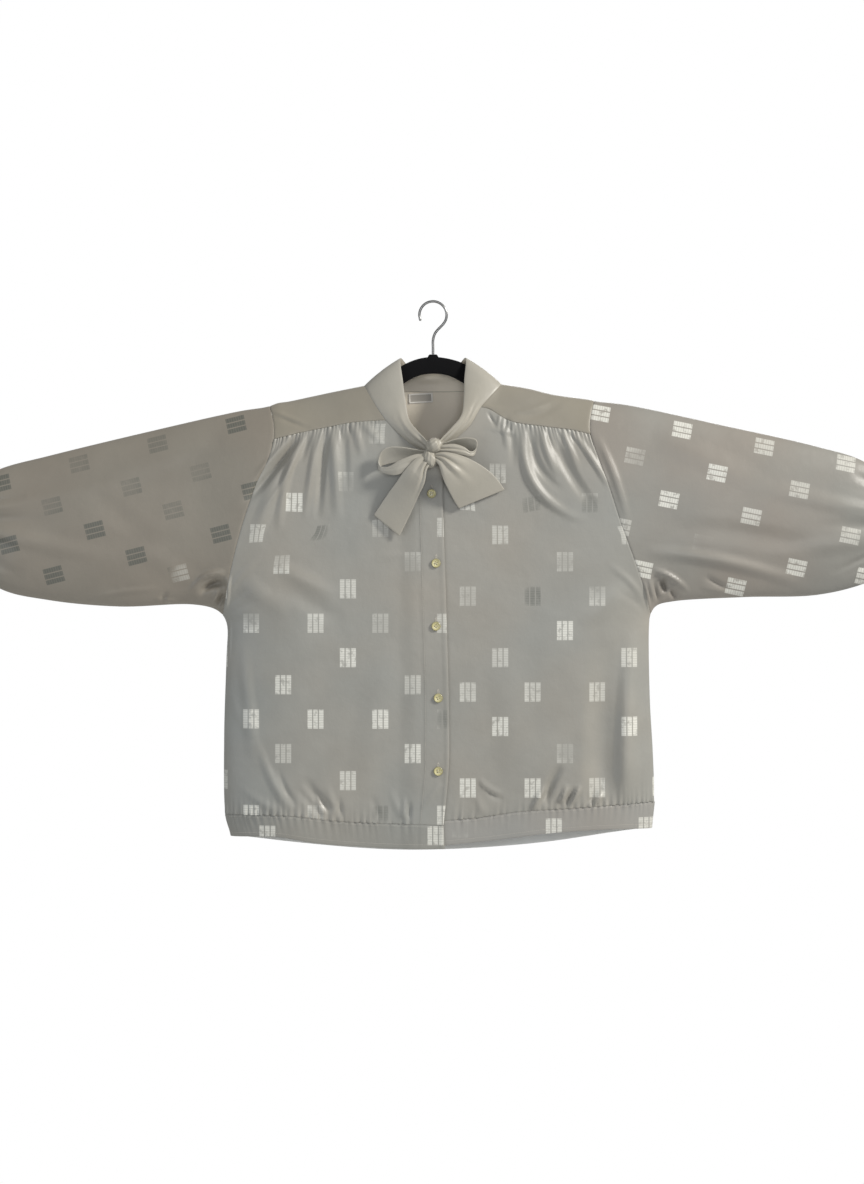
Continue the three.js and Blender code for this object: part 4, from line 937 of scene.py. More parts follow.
def pearl_material():
    """Yellowish pearl, darker at the rim. The cut map holds the distance from the middle."""
    material, tree, shader = new_material(
        "pearl", Roughness=0.22, Coat_Weight=0.5, Coat_Roughness=0.1, Subsurface_Weight=0.1)
    shader.inputs["Subsurface Radius"].default_value = (0.002, 0.0016, 0.001)
    place = put(tree, "ShaderNodeTexCoord").outputs["Object"]
    cut = put(tree, "ShaderNodeUVMap", {"uv_map": "cut"}).outputs[0]
    radius = put(tree, "ShaderNodeSeparateXYZ", in0=cut).outputs["X"]
    cloud = put(tree, "ShaderNodeTexNoise", None, Vector=place, Scale=260.0, Detail=3.0, Distortion=1.5)
    body = mixed(tree, cloud.outputs[0], rgb(226, 218, 172), rgb(178, 172, 118))
    rim = mapped(tree, radius, 0.0044, 0.0063, 0.0, 0.8)
    tree.links.new(mixed(tree, rim, body, rgb(118, 112, 70)), shader.inputs["Base Color"])
    return material


# The neck label's place and size, and its woven border
LABEL_X, LABEL_Z, LABEL_WIDE, LABEL_HIGH = -17, -130, 33, 13
LABEL_TILT = 0.05
LABEL_THICK = 0.6
LABEL_BORDER_ENDS, LABEL_BORDER_SIDES = 2, 1.8


def label_material():
    """Woven label, left blank, with a light woven border. The cut map runs over its face."""
    material, tree, shader = new_material("label weave", Roughness=0.75)
    cut = put(tree, "ShaderNodeUVMap", {"uv_map": "cut"}).outputs[0]
    place = put(tree, "ShaderNodeSeparateXYZ", in0=cut).outputs
    ends_from = (LABEL_WIDE / 2 - LABEL_BORDER_ENDS) * MM
    sides_from = (LABEL_HIGH / 2 - LABEL_BORDER_SIDES) * MM
    at_ends = math_node(tree, "GREATER_THAN", size_of(tree, place["X"]), ends_from)
    at_sides = math_node(tree, "GREATER_THAN", size_of(tree, place["Y"]), sides_from)
    border = math_node(tree, "MAXIMUM", at_ends, at_sides)
    tree.links.new(mixed(tree, border, rgb(176, 172, 164), rgb(238, 235, 228)), shader.inputs["Base Color"])
    height = put(tree, "ShaderNodeGroup", {"node_tree": weave}, Vector=cut, Thread=0.0007).outputs[0]
    threads = put(tree, "ShaderNodeBump", None, Height=height, Strength=0.6, Distance=0.0002)
    tree.links.new(threads.outputs[0], shader.inputs["Normal"])
    return material


pearl = pearl_material()
label_weave = label_material()
thread = plain_material("thread", rgb(190, 186, 176), 1500, 0.00008, Roughness=0.6, Sheen_Weight=0.3)
button_thread = plain_material("button thread", rgb(204, 198, 176), 1500, 0.00008, Roughness=0.6)
velvet = plain_material("velvet", rgb(15, 15, 17), 2400, 0.0003, Roughness=0.95, Sheen_Weight=0.12,
                        Specular_IOR_Level=0.1)
steel = plain_material("hook steel", rgb(150, 150, 149), 300, 0.00002, Roughness=0.3, Metallic=1.0)


def build_side(side, ridge, under, armhole, armhole_back, neck, yoke):
    """Seam lines of one side of the blouse, with the points that its pieces share."""
    top_share = ridge.share_at("x", side["armhole_top"])
    armpit_share = under.share_at("z", side["armpit"], under.share_at("x", side["armhole_top"] * 1.4))
    armhole_top, armpit = ridge.at(top_share), under.at(armpit_share)
    front = Line(np.vstack([armhole_top, spots(armhole), armpit]))
    back = Line(np.vstack([armhole_top, spots(armhole_back), armpit]))
    neck_line = Line(spots(neck))
    yoke_start = neck_line.share_at("x", yoke["x"][0])
    yoke_share = front.share_at("z", side["yoke_end"])
    seam = Line(np.vstack([neck_line.at(yoke_start), spots(yoke)[1:], front.at(yoke_share)]))
    return {
        **side, "ridge": ridge, "under": under, "front": front, "back": back, "neck": neck_line,
        "yoke_seam": seam, "yoke_start": yoke_start, "yoke_share": yoke_share, "top_share": top_share,
        "armpit_share": armpit_share, "back_share": back.share_at("z", side["back_yoke_end"]),
        "hem_share": under.share_at("z", side["hem_seam"], armpit_share),
        "edge_share": under.share_at("z", side["hem_edge"], armpit_share),
        "sleeve_end": (ridge.share_at("x", side["sleeve_end"]), under.share_at("x", side["sleeve_end"])),
        "cuff_end": (ridge.share_at("x", side["cuff_end"]), under.share_at("x", side["cuff_end"])),
    }


left = build_side(LEFT, ridges[0], unders[0], ARMHOLE_LEFT, ARMHOLE_BACK_LEFT, NECK_LEFT, YOKE_SEAM_LEFT)
right = build_side(
    RIGHT, ridges[1], unders[1], ARMHOLE_RIGHT, ARMHOLE_BACK_RIGHT, NECK_RIGHT, YOKE_SEAM_RIGHT)

# Steps of the pieces' grids
NECK_COLUMNS = 26
SEAM_COLUMNS = 122
ARMHOLE_ROWS = 62
BACK_ARMHOLE_ROWS = 50
SIDE_ROWS = 60
BAND_ROWS = 12
BACK_COLUMNS = 190
YOKE_COLUMNS = 46
YOKE_FRONT_ROWS = 26
YOKE_BACK_ROWS = 30
YOKE_MIDDLE_ROWS = 26
HALF_SLEEVE_COLUMNS = 84
SLEEVE_ROWS = 112
CUFF_ROWS = 18

# Where the gathers have drawn the cloth away from its straight repeat, and the way back to it
DRAWN_COLUMNS = "x z move_x move_z reach"
DRAWN_EASE = 0.15
DRAWN_FRONTS = table(DRAWN_COLUMNS,
    (-188, -272, -18, 15, 50), (-236, -307, -12, 10, 45), (-112, -254, 4, 25, 40),
    (-207, -347, 3, 4, 40), (214, -283, 12, 4, 40), (96, -250, 4, 12, 40), (-73, -202, 6, 4, 30))
DRAWN_SLEEVES = table(DRAWN_COLUMNS,
    (-352, -371, 19, -6, 30), (-410, -348, 10, 4, 28), (-524, -374, 17, 3, 30), (-586, -333, 12, -8, 30),
    (-321, -232, 6, 8, 28), (-417, -252, -9, 0, 28), (-526, -279, -8, -1, 28), (575, -320, -27, 4, 30),
    (502, -364, -19, 12, 30), (288, -366, 19, -1, 26))

# Painted highlight and painted shade on the motifs: how bright the motifs near each spot are painted
# where the light does not catch them like the others, from -1 for painted shade to 1 for painted highlight
PAINTED_SHEEN_COLUMNS = "x z value reach"
BODY_PAINTED_SHEEN = table(PAINTED_SHEEN_COLUMNS,
    (-160, -314, -0.55, 22), (-112, -254, 0.12, 22), (-76, -325, 0.35, 22), (-207, -347, 0.35, 22),
    (-32, -365, 0.3, 20), (-248, -427, 0.3, 22), (-72, -444, 0.5, 20), (-25, -270, 0.05, 26),
    (-156, -700, 0.3, 20), (-69, -700, -0.4, 20), (134, -282, -0.4, 22), (182, -358, 0.25, 20),
    (139, -406, -0.6, 22), (51, -406, 0.45, 20), (214, -283, -0.4, 20), (226, -391, 0.45, 20),
    (19, -573, -0.4, 20), (185, -616, 0.25, 22), (51, -534, 0.6, 20), (140, -534, 0.7, 20),
    (-160, -185, 0, 36), (110, -200, 0, 36), (-112, -180, 0, 36), (180, -200, 0.1, 36))
BACK_PAINTED_SHEEN = table(PAINTED_SHEEN_COLUMNS, (-120, -330, 0.3, 60), (140, -460, 0.2, 70), (-30, -600, -0.4, 60))
LEFT_PAINTED_SHEEN = table(PAINTED_SHEEN_COLUMNS,
    (-338, -378, 0.6, 26), (-324, -231, -0.25, 26), (-378, -198, -0.45, 26), (-492, -224, -0.35, 26),
    (-423, -254, -0.3, 26), (-532, -278, -0.35, 26), (-358, -282, -0.4, 26), (-442, -406, 0, 30))
RIGHT_PAINTED_SHEEN = table(PAINTED_SHEEN_COLUMNS,
    (283, -220, 0.3, 24), (372, -335, 0, 32), (573, -321, 0.6, 24), (500, -262, 0.8, 24))
BAND_PAINTED_SHEEN = table(PAINTED_SHEEN_COLUMNS, (-111.6, -732, 0, 40), (37, -721.6, 0, 22))
# Painted sheen of the motifs away from the listed spots: painted shade over the whole left sleeve, painted
# highlight over the right sleeve and the hem bands
LEFT_SLEEVE_PAINTED_SHEEN, RIGHT_SLEEVE_PAINTED_SHEEN, BAND_BASE_PAINTED_SHEEN = -0.85, 1.0, 0.9

# The middle of one motif on each piece, in the front view
MOTIF_LEFT, MOTIF_RIGHT, MOTIF_BACK = (-72, -573), (47.5, -536), (12, -540)
MOTIF_BAND_LEFT, MOTIF_BAND_RIGHT, MOTIF_BAND_BACK = (3.4, -732), (165, -721.6), (20, -528)
MOTIF_SLEEVE_LEFT, MOTIF_SLEEVE_RIGHT = (-378.1, -196.4), (342.2, -177.1)
THREADS_LEFT, THREADS_RIGHT = (-0.97, -0.243), (0.98, -0.199)


def falloff(places, rows):
    """1 near each row's spot, fading to 0 past its reach."""
    distance = np.hypot(places[..., 0, None] - rows["x"], places[..., 1, None] - rows["z"])
    return np.exp(-(distance / rows["reach"]) ** 4)


def drawn_back(places, rows):
    """Where the places would be in the straight repeat, before the gathers drew them."""
    weights = falloff(places, rows)
    total = weights.sum(-1)[..., None] + DRAWN_EASE
    return places + np.stack([weights @ rows["move_x"], weights @ rows["move_z"]], -1) / total


def pattern_from(places, origin):
    """The cut of a piece whose threads hang straight: its front view, from a motif's middle."""
    return (drawn_back(places, DRAWN_FRONTS) - np.array(origin)) * MM


def painted_sheen_over(places, rows, base=1.0):
    """The painted highlight and painted shade of the motifs at the places: that of the nearest row's spot, or
    else base.
    """
    weights = falloff(places, rows)
    strongest = weights.argmax(-1)
    weight = np.take_along_axis(weights, strongest[..., None], -1)[..., 0]
    return base + (rows["value"][strongest] - base) * weight


# Gathers along a seam: how far apart they stand, how high they are and how far they reach
GATHERS = {
    "yoke_seam": (5.6, 1.2, 9), "front_hem": (8, 2, 9), "hem_band": (8.5, 1.2, 10),
    "back_seam": (12, 0.5, 9), "back_hem": (10, 0.8, 10),
    "sleeve_end": (7.5, 1.9, 22), "sleeve_head": (13, 0.35, 8),
}
GATHERS_EASE = 12
PLACKET_PLAIN, PLACKET_GATHERED = 18, 40


def gathered(points, normals, edge, kind, seed):
    """Small gathers that stand at one edge and die away from it."""
    spacing, high, reach = GATHERS[kind]
    distance = edge_distances(points)[edge]
    row = {"first": 0, "last": -1}[edge]
    wave = ruched(run_lengths(points[row]), spacing, seed)
    return points + normals * (high * wave * np.exp(-distance / reach))[..., None]


def off_placket(places):
    """0 over the doubled placket, which is not gathered, and 1 further out."""
    return smooth(abs(places[..., 0]), PLACKET_PLAIN, PLACKET_GATHERED)[..., None]


SHALLOW_ROLL = 0.1
YOKE_ROLL = 0.35


def seam_roll(points, normals, edges, deep=0.5, wide=2.4):
    """Lets the cloth sink towards its seams, where its edge is turned in."""
    distances = edge_distances(points)
    for edge in edges:
        points = points - normals * (deep * (1 - smooth(distances[edge], 0, wide)))[..., None]
    return points


# The share of a front's hem under its neck, and the columns of its hem from the front edge
HEM_UNDER_NECK = 0.17
FRONT_COLUMNS = joined(
    HEM_UNDER_NECK * even(NECK_COLUMNS),
    HEM_UNDER_NECK + (1 - HEM_UNDER_NECK) * dense_end(SEAM_COLUMNS, 1.5))


def front_piece(name, side, face, edge_rows, hem_seam, origin, seed):
    top = joined(
        side["neck"].span(1, side["yoke_start"], even(NECK_COLUMNS)),
        side["yoke_seam"].span(0, 1, dense_end(SEAM_COLUMNS, 1.12)))
    bottom = hem_seam.span(0, 1, FRONT_COLUMNS)
    outer = joined(
        side["front"].span(side["yoke_share"], 1, dense_start(ARMHOLE_ROWS, 1.3)),
        side["under"].span(side["armpit_share"], side["hem_share"], dense_end(SIDE_ROWS, 1.25)))
    drop = (outer[:, 1] - outer[0, 1]) / (outer[-1, 1] - outer[0, 1])
    edge = Line(np.vstack([top[0], spots(edge_rows)[1:-1], bottom[0]])).at(drop)
    places = patch(top, bottom, edge, outer)
    points = on_cloth(places, face)
    normals = body_normals(points)
    first_gather = NECK_COLUMNS + side["gathers_from"]
    on_yoke = smooth(np.arange(points.shape[1]), first_gather, first_gather + GATHERS_EASE)[None, :, None]
    points = points + (gathered(points, normals, "first", "yoke_seam", seed) - points) * on_yoke
    at_hem = gathered(points, normals, "last", "front_hem", seed + 1)
    points = points + (at_hem - points) * off_placket(places)
    points = seam_roll(points, normals, ("first", "right"))
    points = seam_roll(points, normals, ("last",), SHALLOW_ROLL)
    cloth_piece(name, points, "jacquard_satin", body_satin, pattern_from(places, origin),
                painted_sheen_over(places, BODY_PAINTED_SHEEN), ("first", "last", "right"))


def hem_line(rows, side, share="hem_share"):
    return Line(np.vstack([spots(rows), side["under"].at(side[share])]))


hem_seam_left = hem_line(HEM_SEAM_LEFT, left)
hem_seam_right = hem_line(HEM_SEAM_RIGHT, right)
front_piece("front_right", left, LAPPED_FRONT, FRONT_EDGE_LEFT, hem_seam_left, MOTIF_LEFT, 11)
front_piece("front_left", right, FRONT, FRONT_EDGE_RIGHT, hem_seam_right, MOTIF_RIGHT, 21)


def band_piece(name, seam, edge, sides, face, fractions, material, origin, seams, seed):
    """A hem band between its seam and its edge. Each of its sides is a side seam, or None."""
    top, bottom = seam.span(0, 1, fractions), edge.span(0, 1, fractions)
    steps = even(BAND_ROWS)

    def end(side, first, last):
        if side is None:
            return first + (last - first) * steps[:, None]
        return side["under"].span(side["hem_share"], side["edge_share"], steps)

    ends = [end(side, top[k], bottom[k]) for side, k in zip(sides, (0, -1))]
    places = patch(top, bottom, *ends)
    points = on_cloth(places, face)
    normals = body_normals(points)
    on_band = 1 if face is BACK else off_placket(places)
    points = points + (gathered(points, normals, "first", "hem_band", seed) - points) * on_band
    points = seam_roll(points, normals, ("first",), SHALLOW_ROLL)
    return cloth_piece(name, points, "band_satin", material, pattern_from(places, origin),
                       painted_sheen_over(places, BAND_PAINTED_SHEEN, BAND_BASE_PAINTED_SHEEN), seams)


hem_edge_left = hem_line(HEM_EDGE_LEFT, left, "edge_share")
hem_edge_right = hem_line(HEM_EDGE_RIGHT, right, "edge_share")
hem_bands = [
    band_piece("hem_band_front_right", hem_seam_left, hem_edge_left, (None, left), LAPPED_FRONT,
               FRONT_COLUMNS, shaded_left_band_satin, MOTIF_BAND_LEFT, ("first", "right"), 12),
    band_piece("hem_band_front_left", hem_seam_right, hem_edge_right, (None, right), FRONT,
               FRONT_COLUMNS, right_band_satin, MOTIF_BAND_RIGHT, ("first", "right"), 22)]


def between(left_point, rows, right_point):
    return Line(np.vstack([left_point, spots(rows), right_point]))


def across_back(line, share, rows):
    """A seam across the back, from one side's line over the rows to the other side's."""
    return between(left[line].at(left[share]), rows, right[line].at(right[share]))


back_seam = across_back("back", "back_share", BACK_SEAM)
hem_seam_back = across_back("under", "hem_share", HEM_SEAM_BACK)
hem_edge_back = across_back("under", "edge_share", HEM_EDGE_BACK)


def back_outer(side):
    return joined(
        side["back"].span(side["back_share"], 1, dense_start(BACK_ARMHOLE_ROWS, 1.2)),
        side["under"].span(side["armpit_share"], side["hem_share"], dense_end(SIDE_ROWS, 1.25)))


def back_piece():
    top = back_seam.span(0, 1, 0.85 * even(BACK_COLUMNS) + 0.15 * crowded_ends(BACK_COLUMNS))
    bottom = hem_seam_back.span(0, 1, crowded_ends(BACK_COLUMNS))
    places = patch(top, bottom, back_outer(left), back_outer(right))
    points = on_cloth(places, BACK)
    normals = body_normals(points)
    points = gathered(points, normals, "first", "back_seam", 31)
    points = gathered(points, normals, "last", "back_hem", 32)
    points = seam_roll(points, normals, ("first", "last", "left", "right"))
    cloth_piece("back", points, "jacquard_satin", body_satin, (places - np.array(MOTIF_BACK)) * MM,
                painted_sheen_over(places, BACK_PAINTED_SHEEN), ("first", "last", "left", "right"))


back_piece()
hem_bands.append(
    band_piece("hem_band_back", hem_seam_back, hem_edge_back, (left, right), BACK,
               crowded_ends(BACK_COLUMNS), body_satin, MOTIF_BAND_BACK, ("first", "left", "right"), 33))

# The yoke, from one front seam over the shoulder, across the back and down to the other. From
# NECK_TURN of the way to the middle of the neck, its grid runs to the middle of the back seam.
NECK_TURN = 0.52
neck_back = Line(spots(NECK_BACK))
neck_back_middle = neck_back.share_at("x", 0)
back_seam_middle = back_seam.share_at("x", 0)


def yoke_front(side):
    seam = side["yoke_seam"].span(0, 1, even(YOKE_COLUMNS))
    neck = side["neck"].span(side["yoke_start"], 0, crowded_end(YOKE_FRONT_ROWS))
    armhole = side["front"].span(side["yoke_share"], 0, crowded_end(YOKE_FRONT_ROWS))
    shoulder = side["ridge"].span(0, side["top_share"], even(YOKE_COLUMNS))
    return patch(seam, shoulder, neck, armhole)


def yoke_back(side, neck_end, seam_end):
    neck_turn = neck_end + (neck_back_middle - neck_end) * NECK_TURN
    neck = joined(
        neck_back.span(neck_end, neck_turn, crowded_start(YOKE_BACK_ROWS)),
        neck_back.span(neck_turn, neck_back_middle, even(YOKE_MIDDLE_ROWS)))
    outer = joined(
        side["back"].span(0, side["back_share"], crowded_start(YOKE_BACK_ROWS)),
        back_seam.span(seam_end, back_seam_middle, even(YOKE_MIDDLE_ROWS)))
    shoulder = side["ridge"].span(0, side["top_share"], even(YOKE_COLUMNS))
    middle = straight(neck_back.at(neck_back_middle), back_seam.at(back_seam_middle), even(YOKE_COLUMNS))
    return patch(shoulder, middle, neck, outer)


def yoke_piece():
    parts = [(yoke_front(left), FRONT), (yoke_back(left, 0, 0), BACK),
             (yoke_back(right, 1, 1)[::-1], BACK), (yoke_front(right)[::-1], FRONT)]
    places = joined(*[part for part, _ in parts])
    points = joined(*[on_cloth(part, face) for part, face in parts])
    normals = body_normals(points)
    points = seam_roll(points, normals, ("first", "last", "right"), YOKE_ROLL)
    cloth_piece("yoke", points, "jacquard_satin", plain_satin, pattern_from(places, (0, 0)),
                None, ("first", "last", "left", "right"))


yoke_piece()


# Sleeves and cuffs: tubes that open at both ends
def tube_points(top_edge, under_edge, first_front, first_back, last_front, last_back):
    """Places and points of a tube: its front from the ridge down, and its back up again."""
    front = patch(first_front, last_front, top_edge, under_edge)
    back = patch(first_back, last_back, top_edge, under_edge)
    places = np.concatenate([front, back[:, -2:0:-1]], 1)
    points = np.concatenate([on_cloth(front, FRONT), on_cloth(back, BACK)[:, -2:0:-1]], 1)
    return places, points


def sleeve_pattern(places, origin, direction):
    """The cut of a sleeve, whose threads run along it."""
    along = np.array(direction) / np.hypot(*direction)
    across = np.array([-along[1], along[0]])
    offset = (drawn_back(places, DRAWN_SLEEVES) - np.array(origin)) * MM
    return np.stack([offset @ across, offset @ along], -1)


def sleeve_pieces(name, side, material, origin, direction, shine, base, seed):
    """A sleeve and its cuff. The cuff's grid is given back for its stitches."""
    rows = 0.8 * even(SLEEVE_ROWS) + 0.2 * crowded_ends(SLEEVE_ROWS)
    columns = crowded_ends(HALF_SLEEVE_COLUMNS)
    ridge_end, under_end = side["sleeve_end"]
    top_edge = side["ridge"].span(side["top_share"], ridge_end, rows)
    under_edge = side["under"].span(side["armpit_share"], under_end, rows)
    front, back = side["front"].span(0, 1, columns), side["back"].span(0, 1, columns)
    cuff_line = straight(top_edge[-1], under_edge[-1], columns)
    places, points = tube_points(top_edge, under_edge, front, back, cuff_line, cuff_line)
    normals = body_normals(points, around=True)
    points = gathered(points, normals, "last", "sleeve_end", seed)
    points = gathered(points, normals, "first", "sleeve_head", seed + 1)
    points = seam_roll(points, normals, ("first", "last"))
    pattern = sleeve_pattern(places, origin, direction)
    cloth_piece(f"sleeve_{name}", points, "jacquard_satin", material, pattern,
                painted_sheen_over(places, shine, base), ("first", "last"), around=True)

    steps = even(CUFF_ROWS)
    cuff_top = side["ridge"].span(ridge_end, side["cuff_end"][0], steps)
    cuff_under = side["under"].span(under_end, side["cuff_end"][1], steps)
    far_line = straight(cuff_top[-1], cuff_under[-1], columns)
    places, points = tube_points(cuff_top, cuff_under, cuff_line, cuff_line, far_line, far_line)
    normals = body_normals(points, around=True)
    points = seam_roll(points, normals, ("first",))
    pattern = sleeve_pattern(places, origin, direction)
    return cloth_piece(f"cuff_{name}", points, "band_satin", material, pattern,
                       np.full(places.shape[:2], base), ("first",), DOUBLED, around=True)


cuffs = [
    sleeve_pieces("left", left, shaded_left_sleeve_satin, MOTIF_SLEEVE_LEFT, THREADS_LEFT,
                  LEFT_PAINTED_SHEEN, LEFT_SLEEVE_PAINTED_SHEEN, 41),
    sleeve_pieces("right", right, right_satin, MOTIF_SLEEVE_RIGHT, THREADS_RIGHT,
                  RIGHT_PAINTED_SHEEN, RIGHT_SLEEVE_PAINTED_SHEEN, 51)]

# The collar strip stands on the neck seam, and its ends run into the knot
COLLAR_TOP = table("share x y z",
    (0, -3, -47, -200), (0.03, -13, -43, -189), (0.08, -24, -39, -177), (0.13, -33, -33, -164),
    (0.2, -38, -25, -140), (0.25, -42, -14, -110), (0.3, -45, -2, -77.5), (0.37, -34, 11, -86),
    (0.5, 0, 15, -88), (0.63, 34, 11, -86), (0.7, 45, -2, -77), (0.75, 43.5, -14, -108),
    (0.8, 42.5, -24, -134), (0.87, 39, -33, -158), (0.92, 25, -39, -176), (0.97, 12, -43, -190),
    (1, 4, -47, -200))
COLLAR_BULGE = 2.5
COLLAR_ATTACHED = 14
COLLAR_WIDE = 48
COLLAR_COLUMNS = 14
COLLAR_FRONT_ROWS, COLLAR_BACK_ROWS, COLLAR_END_ROWS = 52, 64, 8
COLLAR_BULGE_FROM = 40
COLLAR_START, COLLAR_FINISH = (-3, -44, -211), (3, -43, -210)


def point_rows(rows, prefix=""):
    names = ("x", "y", "z") if not prefix else tuple(prefix + "_" + axis for axis in "xyz")
    return np.column_stack([rows[name] for name in names])


# Creases of a strip: start is their place across it and drift how far they move by its end, from
# 0 to 1; wide their half width in the same share; deepest and fade the lengths where they are
# deepest and over which they go.
CREASE = "start drift wide high deepest fade"
COLLAR_CREASES_LEFT = table(CREASE,
    (0.2, 0.2, 0.09, 1, 4, 34), (0.42, 0.25, 0.08, -1.4, 6, 42), (0.62, 0.2, 0.08, 1.2, 6, 36),
    (0.84, 0.1, 0.07, -0.9, 4, 26), (0.5, 1.2, 0.08, 0.7, 70, 26))
COLLAR_CREASES_RIGHT = table(CREASE,
    (0.22, 0.2, 0.1, -1, 6, 40), (0.45, 0.3, 0.08, 1.2, 8, 44), (0.66, 0.25, 0.09, -1.2, 8, 46),
    (0.3, -0.6, 0.1, 1, 66, 22), (0.46, -0.6, 0.08, -1.1, 72, 24), (0.85, 0.1, 0.08, 0.8, 10, 40))
COLLAR_CREASES_BACK = table(CREASE,
    (0.3, 0, 0.07, 0.8, 0, 16), (0.5, 0.3, 0.06, -0.8, 4, 18), (0.7, 0, 0.07, 0.7, 0, 14))


def creased(points, normals, across, lengths, creases):
    """Raises soft creases on a strip. lengths is how far each row is from where they start."""
    along = lengths[:, None]
    for start, drift_across, wide, high, deepest, fade in zip(*creases.values()):
        centre = start + drift_across * along / max(lengths.max(), 1)
        bump = np.exp(-((across - centre) / wide) ** 2) * np.exp(-((along - deepest) / fade) ** 2)
        points = points + normals * (high * bump)[..., None]
    return points


def collar_piece():
    def neck_span(side):
        attached = side["neck"].share_at("x", math.copysign(COLLAR_ATTACHED, side["armhole_top"]))
        return side["neck"].span(attached, 0, crowded_end(COLLAR_FRONT_ROWS))

    around_back = neck_back.span(0, 1, crowded_ends(COLLAR_BACK_ROWS))
    parts = [(neck_span(left), LAPPED_FRONT), (around_back, BACK), (neck_span(right)[::-1], FRONT)]
    seam = joined(*[on_cloth(part, face) for part, face in parts])
    seam_out = joined(*[outward(part, face) for part, face in parts])
    end_steps = even(COLLAR_END_ROWS)
    start = straight(np.array(COLLAR_START), seam[0], end_steps)[:-1]
    finish = straight(seam[-1], np.array(COLLAR_FINISH), end_steps)[1:]
    foot = np.vstack([start, seam, finish])
    repeats = (COLLAR_END_ROWS, 1)
    out = np.vstack([np.tile(seam_out[0], repeats), seam_out, np.tile(seam_out[-1], repeats)])
    lengths = run_lengths(foot)
    rows = even(len(COLLAR_TOP["share"]) - 1)
    top = catmull_rom(point_rows(COLLAR_TOP), np.interp(lengths / lengths[-1], COLLAR_TOP["share"], rows))
    f = even(COLLAR_COLUMNS)[None, :, None]
    from_end = np.minimum(lengths, lengths[-1] - lengths)
    bulge = COLLAR_BULGE * smooth(from_end, 0, COLLAR_BULGE_FROM)[:, None, None]
    points = foot[:, None] * (1 - f) + top[:, None] * f + out[:, None] * bulge * 4 * f * (1 - f)
    normals = grid_normals(points)
    normals *= np.sign((normals[:, 3] * out).sum())
    points = creased(points, normals, f[..., 0], lengths, COLLAR_CREASES_LEFT)
    points = creased(points, normals, f[..., 0], lengths[-1] - lengths, COLLAR_CREASES_RIGHT)
    points = creased(points, normals, f[..., 0], abs(lengths - lengths[-1] / 2), COLLAR_CREASES_BACK)
    normals = grid_normals(points)
    normals *= np.sign((normals[:, 3] * out).sum())
    pattern = np.stack(np.broadcast_arrays(lengths[:, None], f[..., 0] * COLLAR_WIDE), -1) * MM
    cloth_piece("collar", points, "tie_satin", tie_satin, pattern, None, (), DOUBLED, normals=normals)


collar_piece()

# The tie: edges of its loops and tails from the knot outwards
EDGES = "x y z to_x to_y to_z crown"
LOOP_LEFT = table(EDGES,
    (-5, -50, -211, -5, -49, -219, 0), (-15, -51, -212, -15, -50, -225, 0.5),
    (-26, -52, -213.6, -28, -51, -231, 1.5), (-45, -52.5, -221, -51, -51, -240, 2),
    (-62, -50, -230, -63, -49, -238, 0.6), (-71, -47, -229, -71, -46.5, -235, 0.2),
    (-74, -46.5, -221, -74, -43, -231, 0), (-71, -47.5, -210, -72, -40, -228, -1),
    (-62, -48, -203.5, -64, -39, -225, -1.6), (-45, -48, -202.6, -46, -39, -221, -1.6),
    (-22, -48, -206, -22, -41, -215, -0.8), (-5, -47, -208, -5, -44, -213, 0))
LOOP_RIGHT = table(EDGES,
    (5, -50, -201, 5, -49.5, -208, 0), (14, -51, -200, 14, -50, -208.5, 0.5),
    (29, -51.5, -199, 29, -50.5, -211, 1), (42, -50.5, -203, 42, -50, -213, 0.8),
    (51, -48.5, -209, 51, -48, -214.5, 0.3), (56, -46, -207, 55, -45.5, -213.5, 0),
    (60, -46, -199, 57, -42, -211, 0), (58, -47.5, -192.5, 56, -39.5, -208, -0.8),
    (46, -48.5, -190, 46, -38.5, -205, -1.4), (30, -48.5, -192, 30, -39, -203, -1.2),
    (16, -48, -196.5, 16, -41.5, -204, -0.5), (5, -47, -199.5, 5, -44.5, -205, 0))
TAIL_LEFT = table(EDGES,
    (-6, -51, -214, -2, -52, -222, 0), (-20, -54, -217, -9, -55, -233, 1.5),
    (-34, -55, -230, -12, -54, -250, 2.5), (-49, -49, -250, -21, -49, -270, 1.5),
    (-65, -42, -272, -33, -43, -296, 1), (-80, -36, -294, -46, -38.5, -322, 0.5))
TAIL_RIGHT = table(EDGES,
    (1, -52, -219, 4, -51, -211, 0), (8, -54.5, -226, 17, -53.5, -210, 1.5),
    (15, -53, -247, 42, -53, -216, 3), (25, -47, -267, 70, -47.5, -231, 2),
    (30, -42, -276, 85, -42, -244, 1.2), (35.6, -38.5, -284.5, 96.6, -37, -259.4, 0.5))
KNOT_LOBES = table("x y z wide deep high tilt",
    (1.5, -49, -200, 10.5, 11, 10, 0.3), (-4.5, -48, -218, 9.5, 10, 13, -0.25))


TIE_WIDE = 45


def strip_piece(name, rows, steps, across, creases):
    """A strip of doubled cloth between two edges, creased where the knot grips it."""
    shares = even(steps)
    near, far = catmull_rom(point_rows(rows), shares), catmull_rom(point_rows(rows, "to"), shares)
    g = even(across)[None, :, None]
    points = near[:, None] * (1 - g) + far[:, None] * g
    crown = np.interp(shares * (len(rows["crown"]) - 1), np.arange(len(rows["crown"])), rows["crown"])
    points[..., 1] -= crown[:, None] * np.sin(np.pi * g[..., 0])
    lengths = run_lengths(points[:, across // 2])
    normals = grid_normals(points)
    normals *= np.sign(-normals[: steps // 4, :, 1].sum())
    points = creased(points, normals, g[..., 0], lengths, creases)
    normals = grid_normals(points)
    pattern = np.stack(np.broadcast_arrays(g[..., 0] * TIE_WIDE, lengths[:, None]), -1) * MM
    cloth_piece(name, points, "tie_satin", tie_satin, pattern, None, (), TIE_CLOTH, normals=normals)


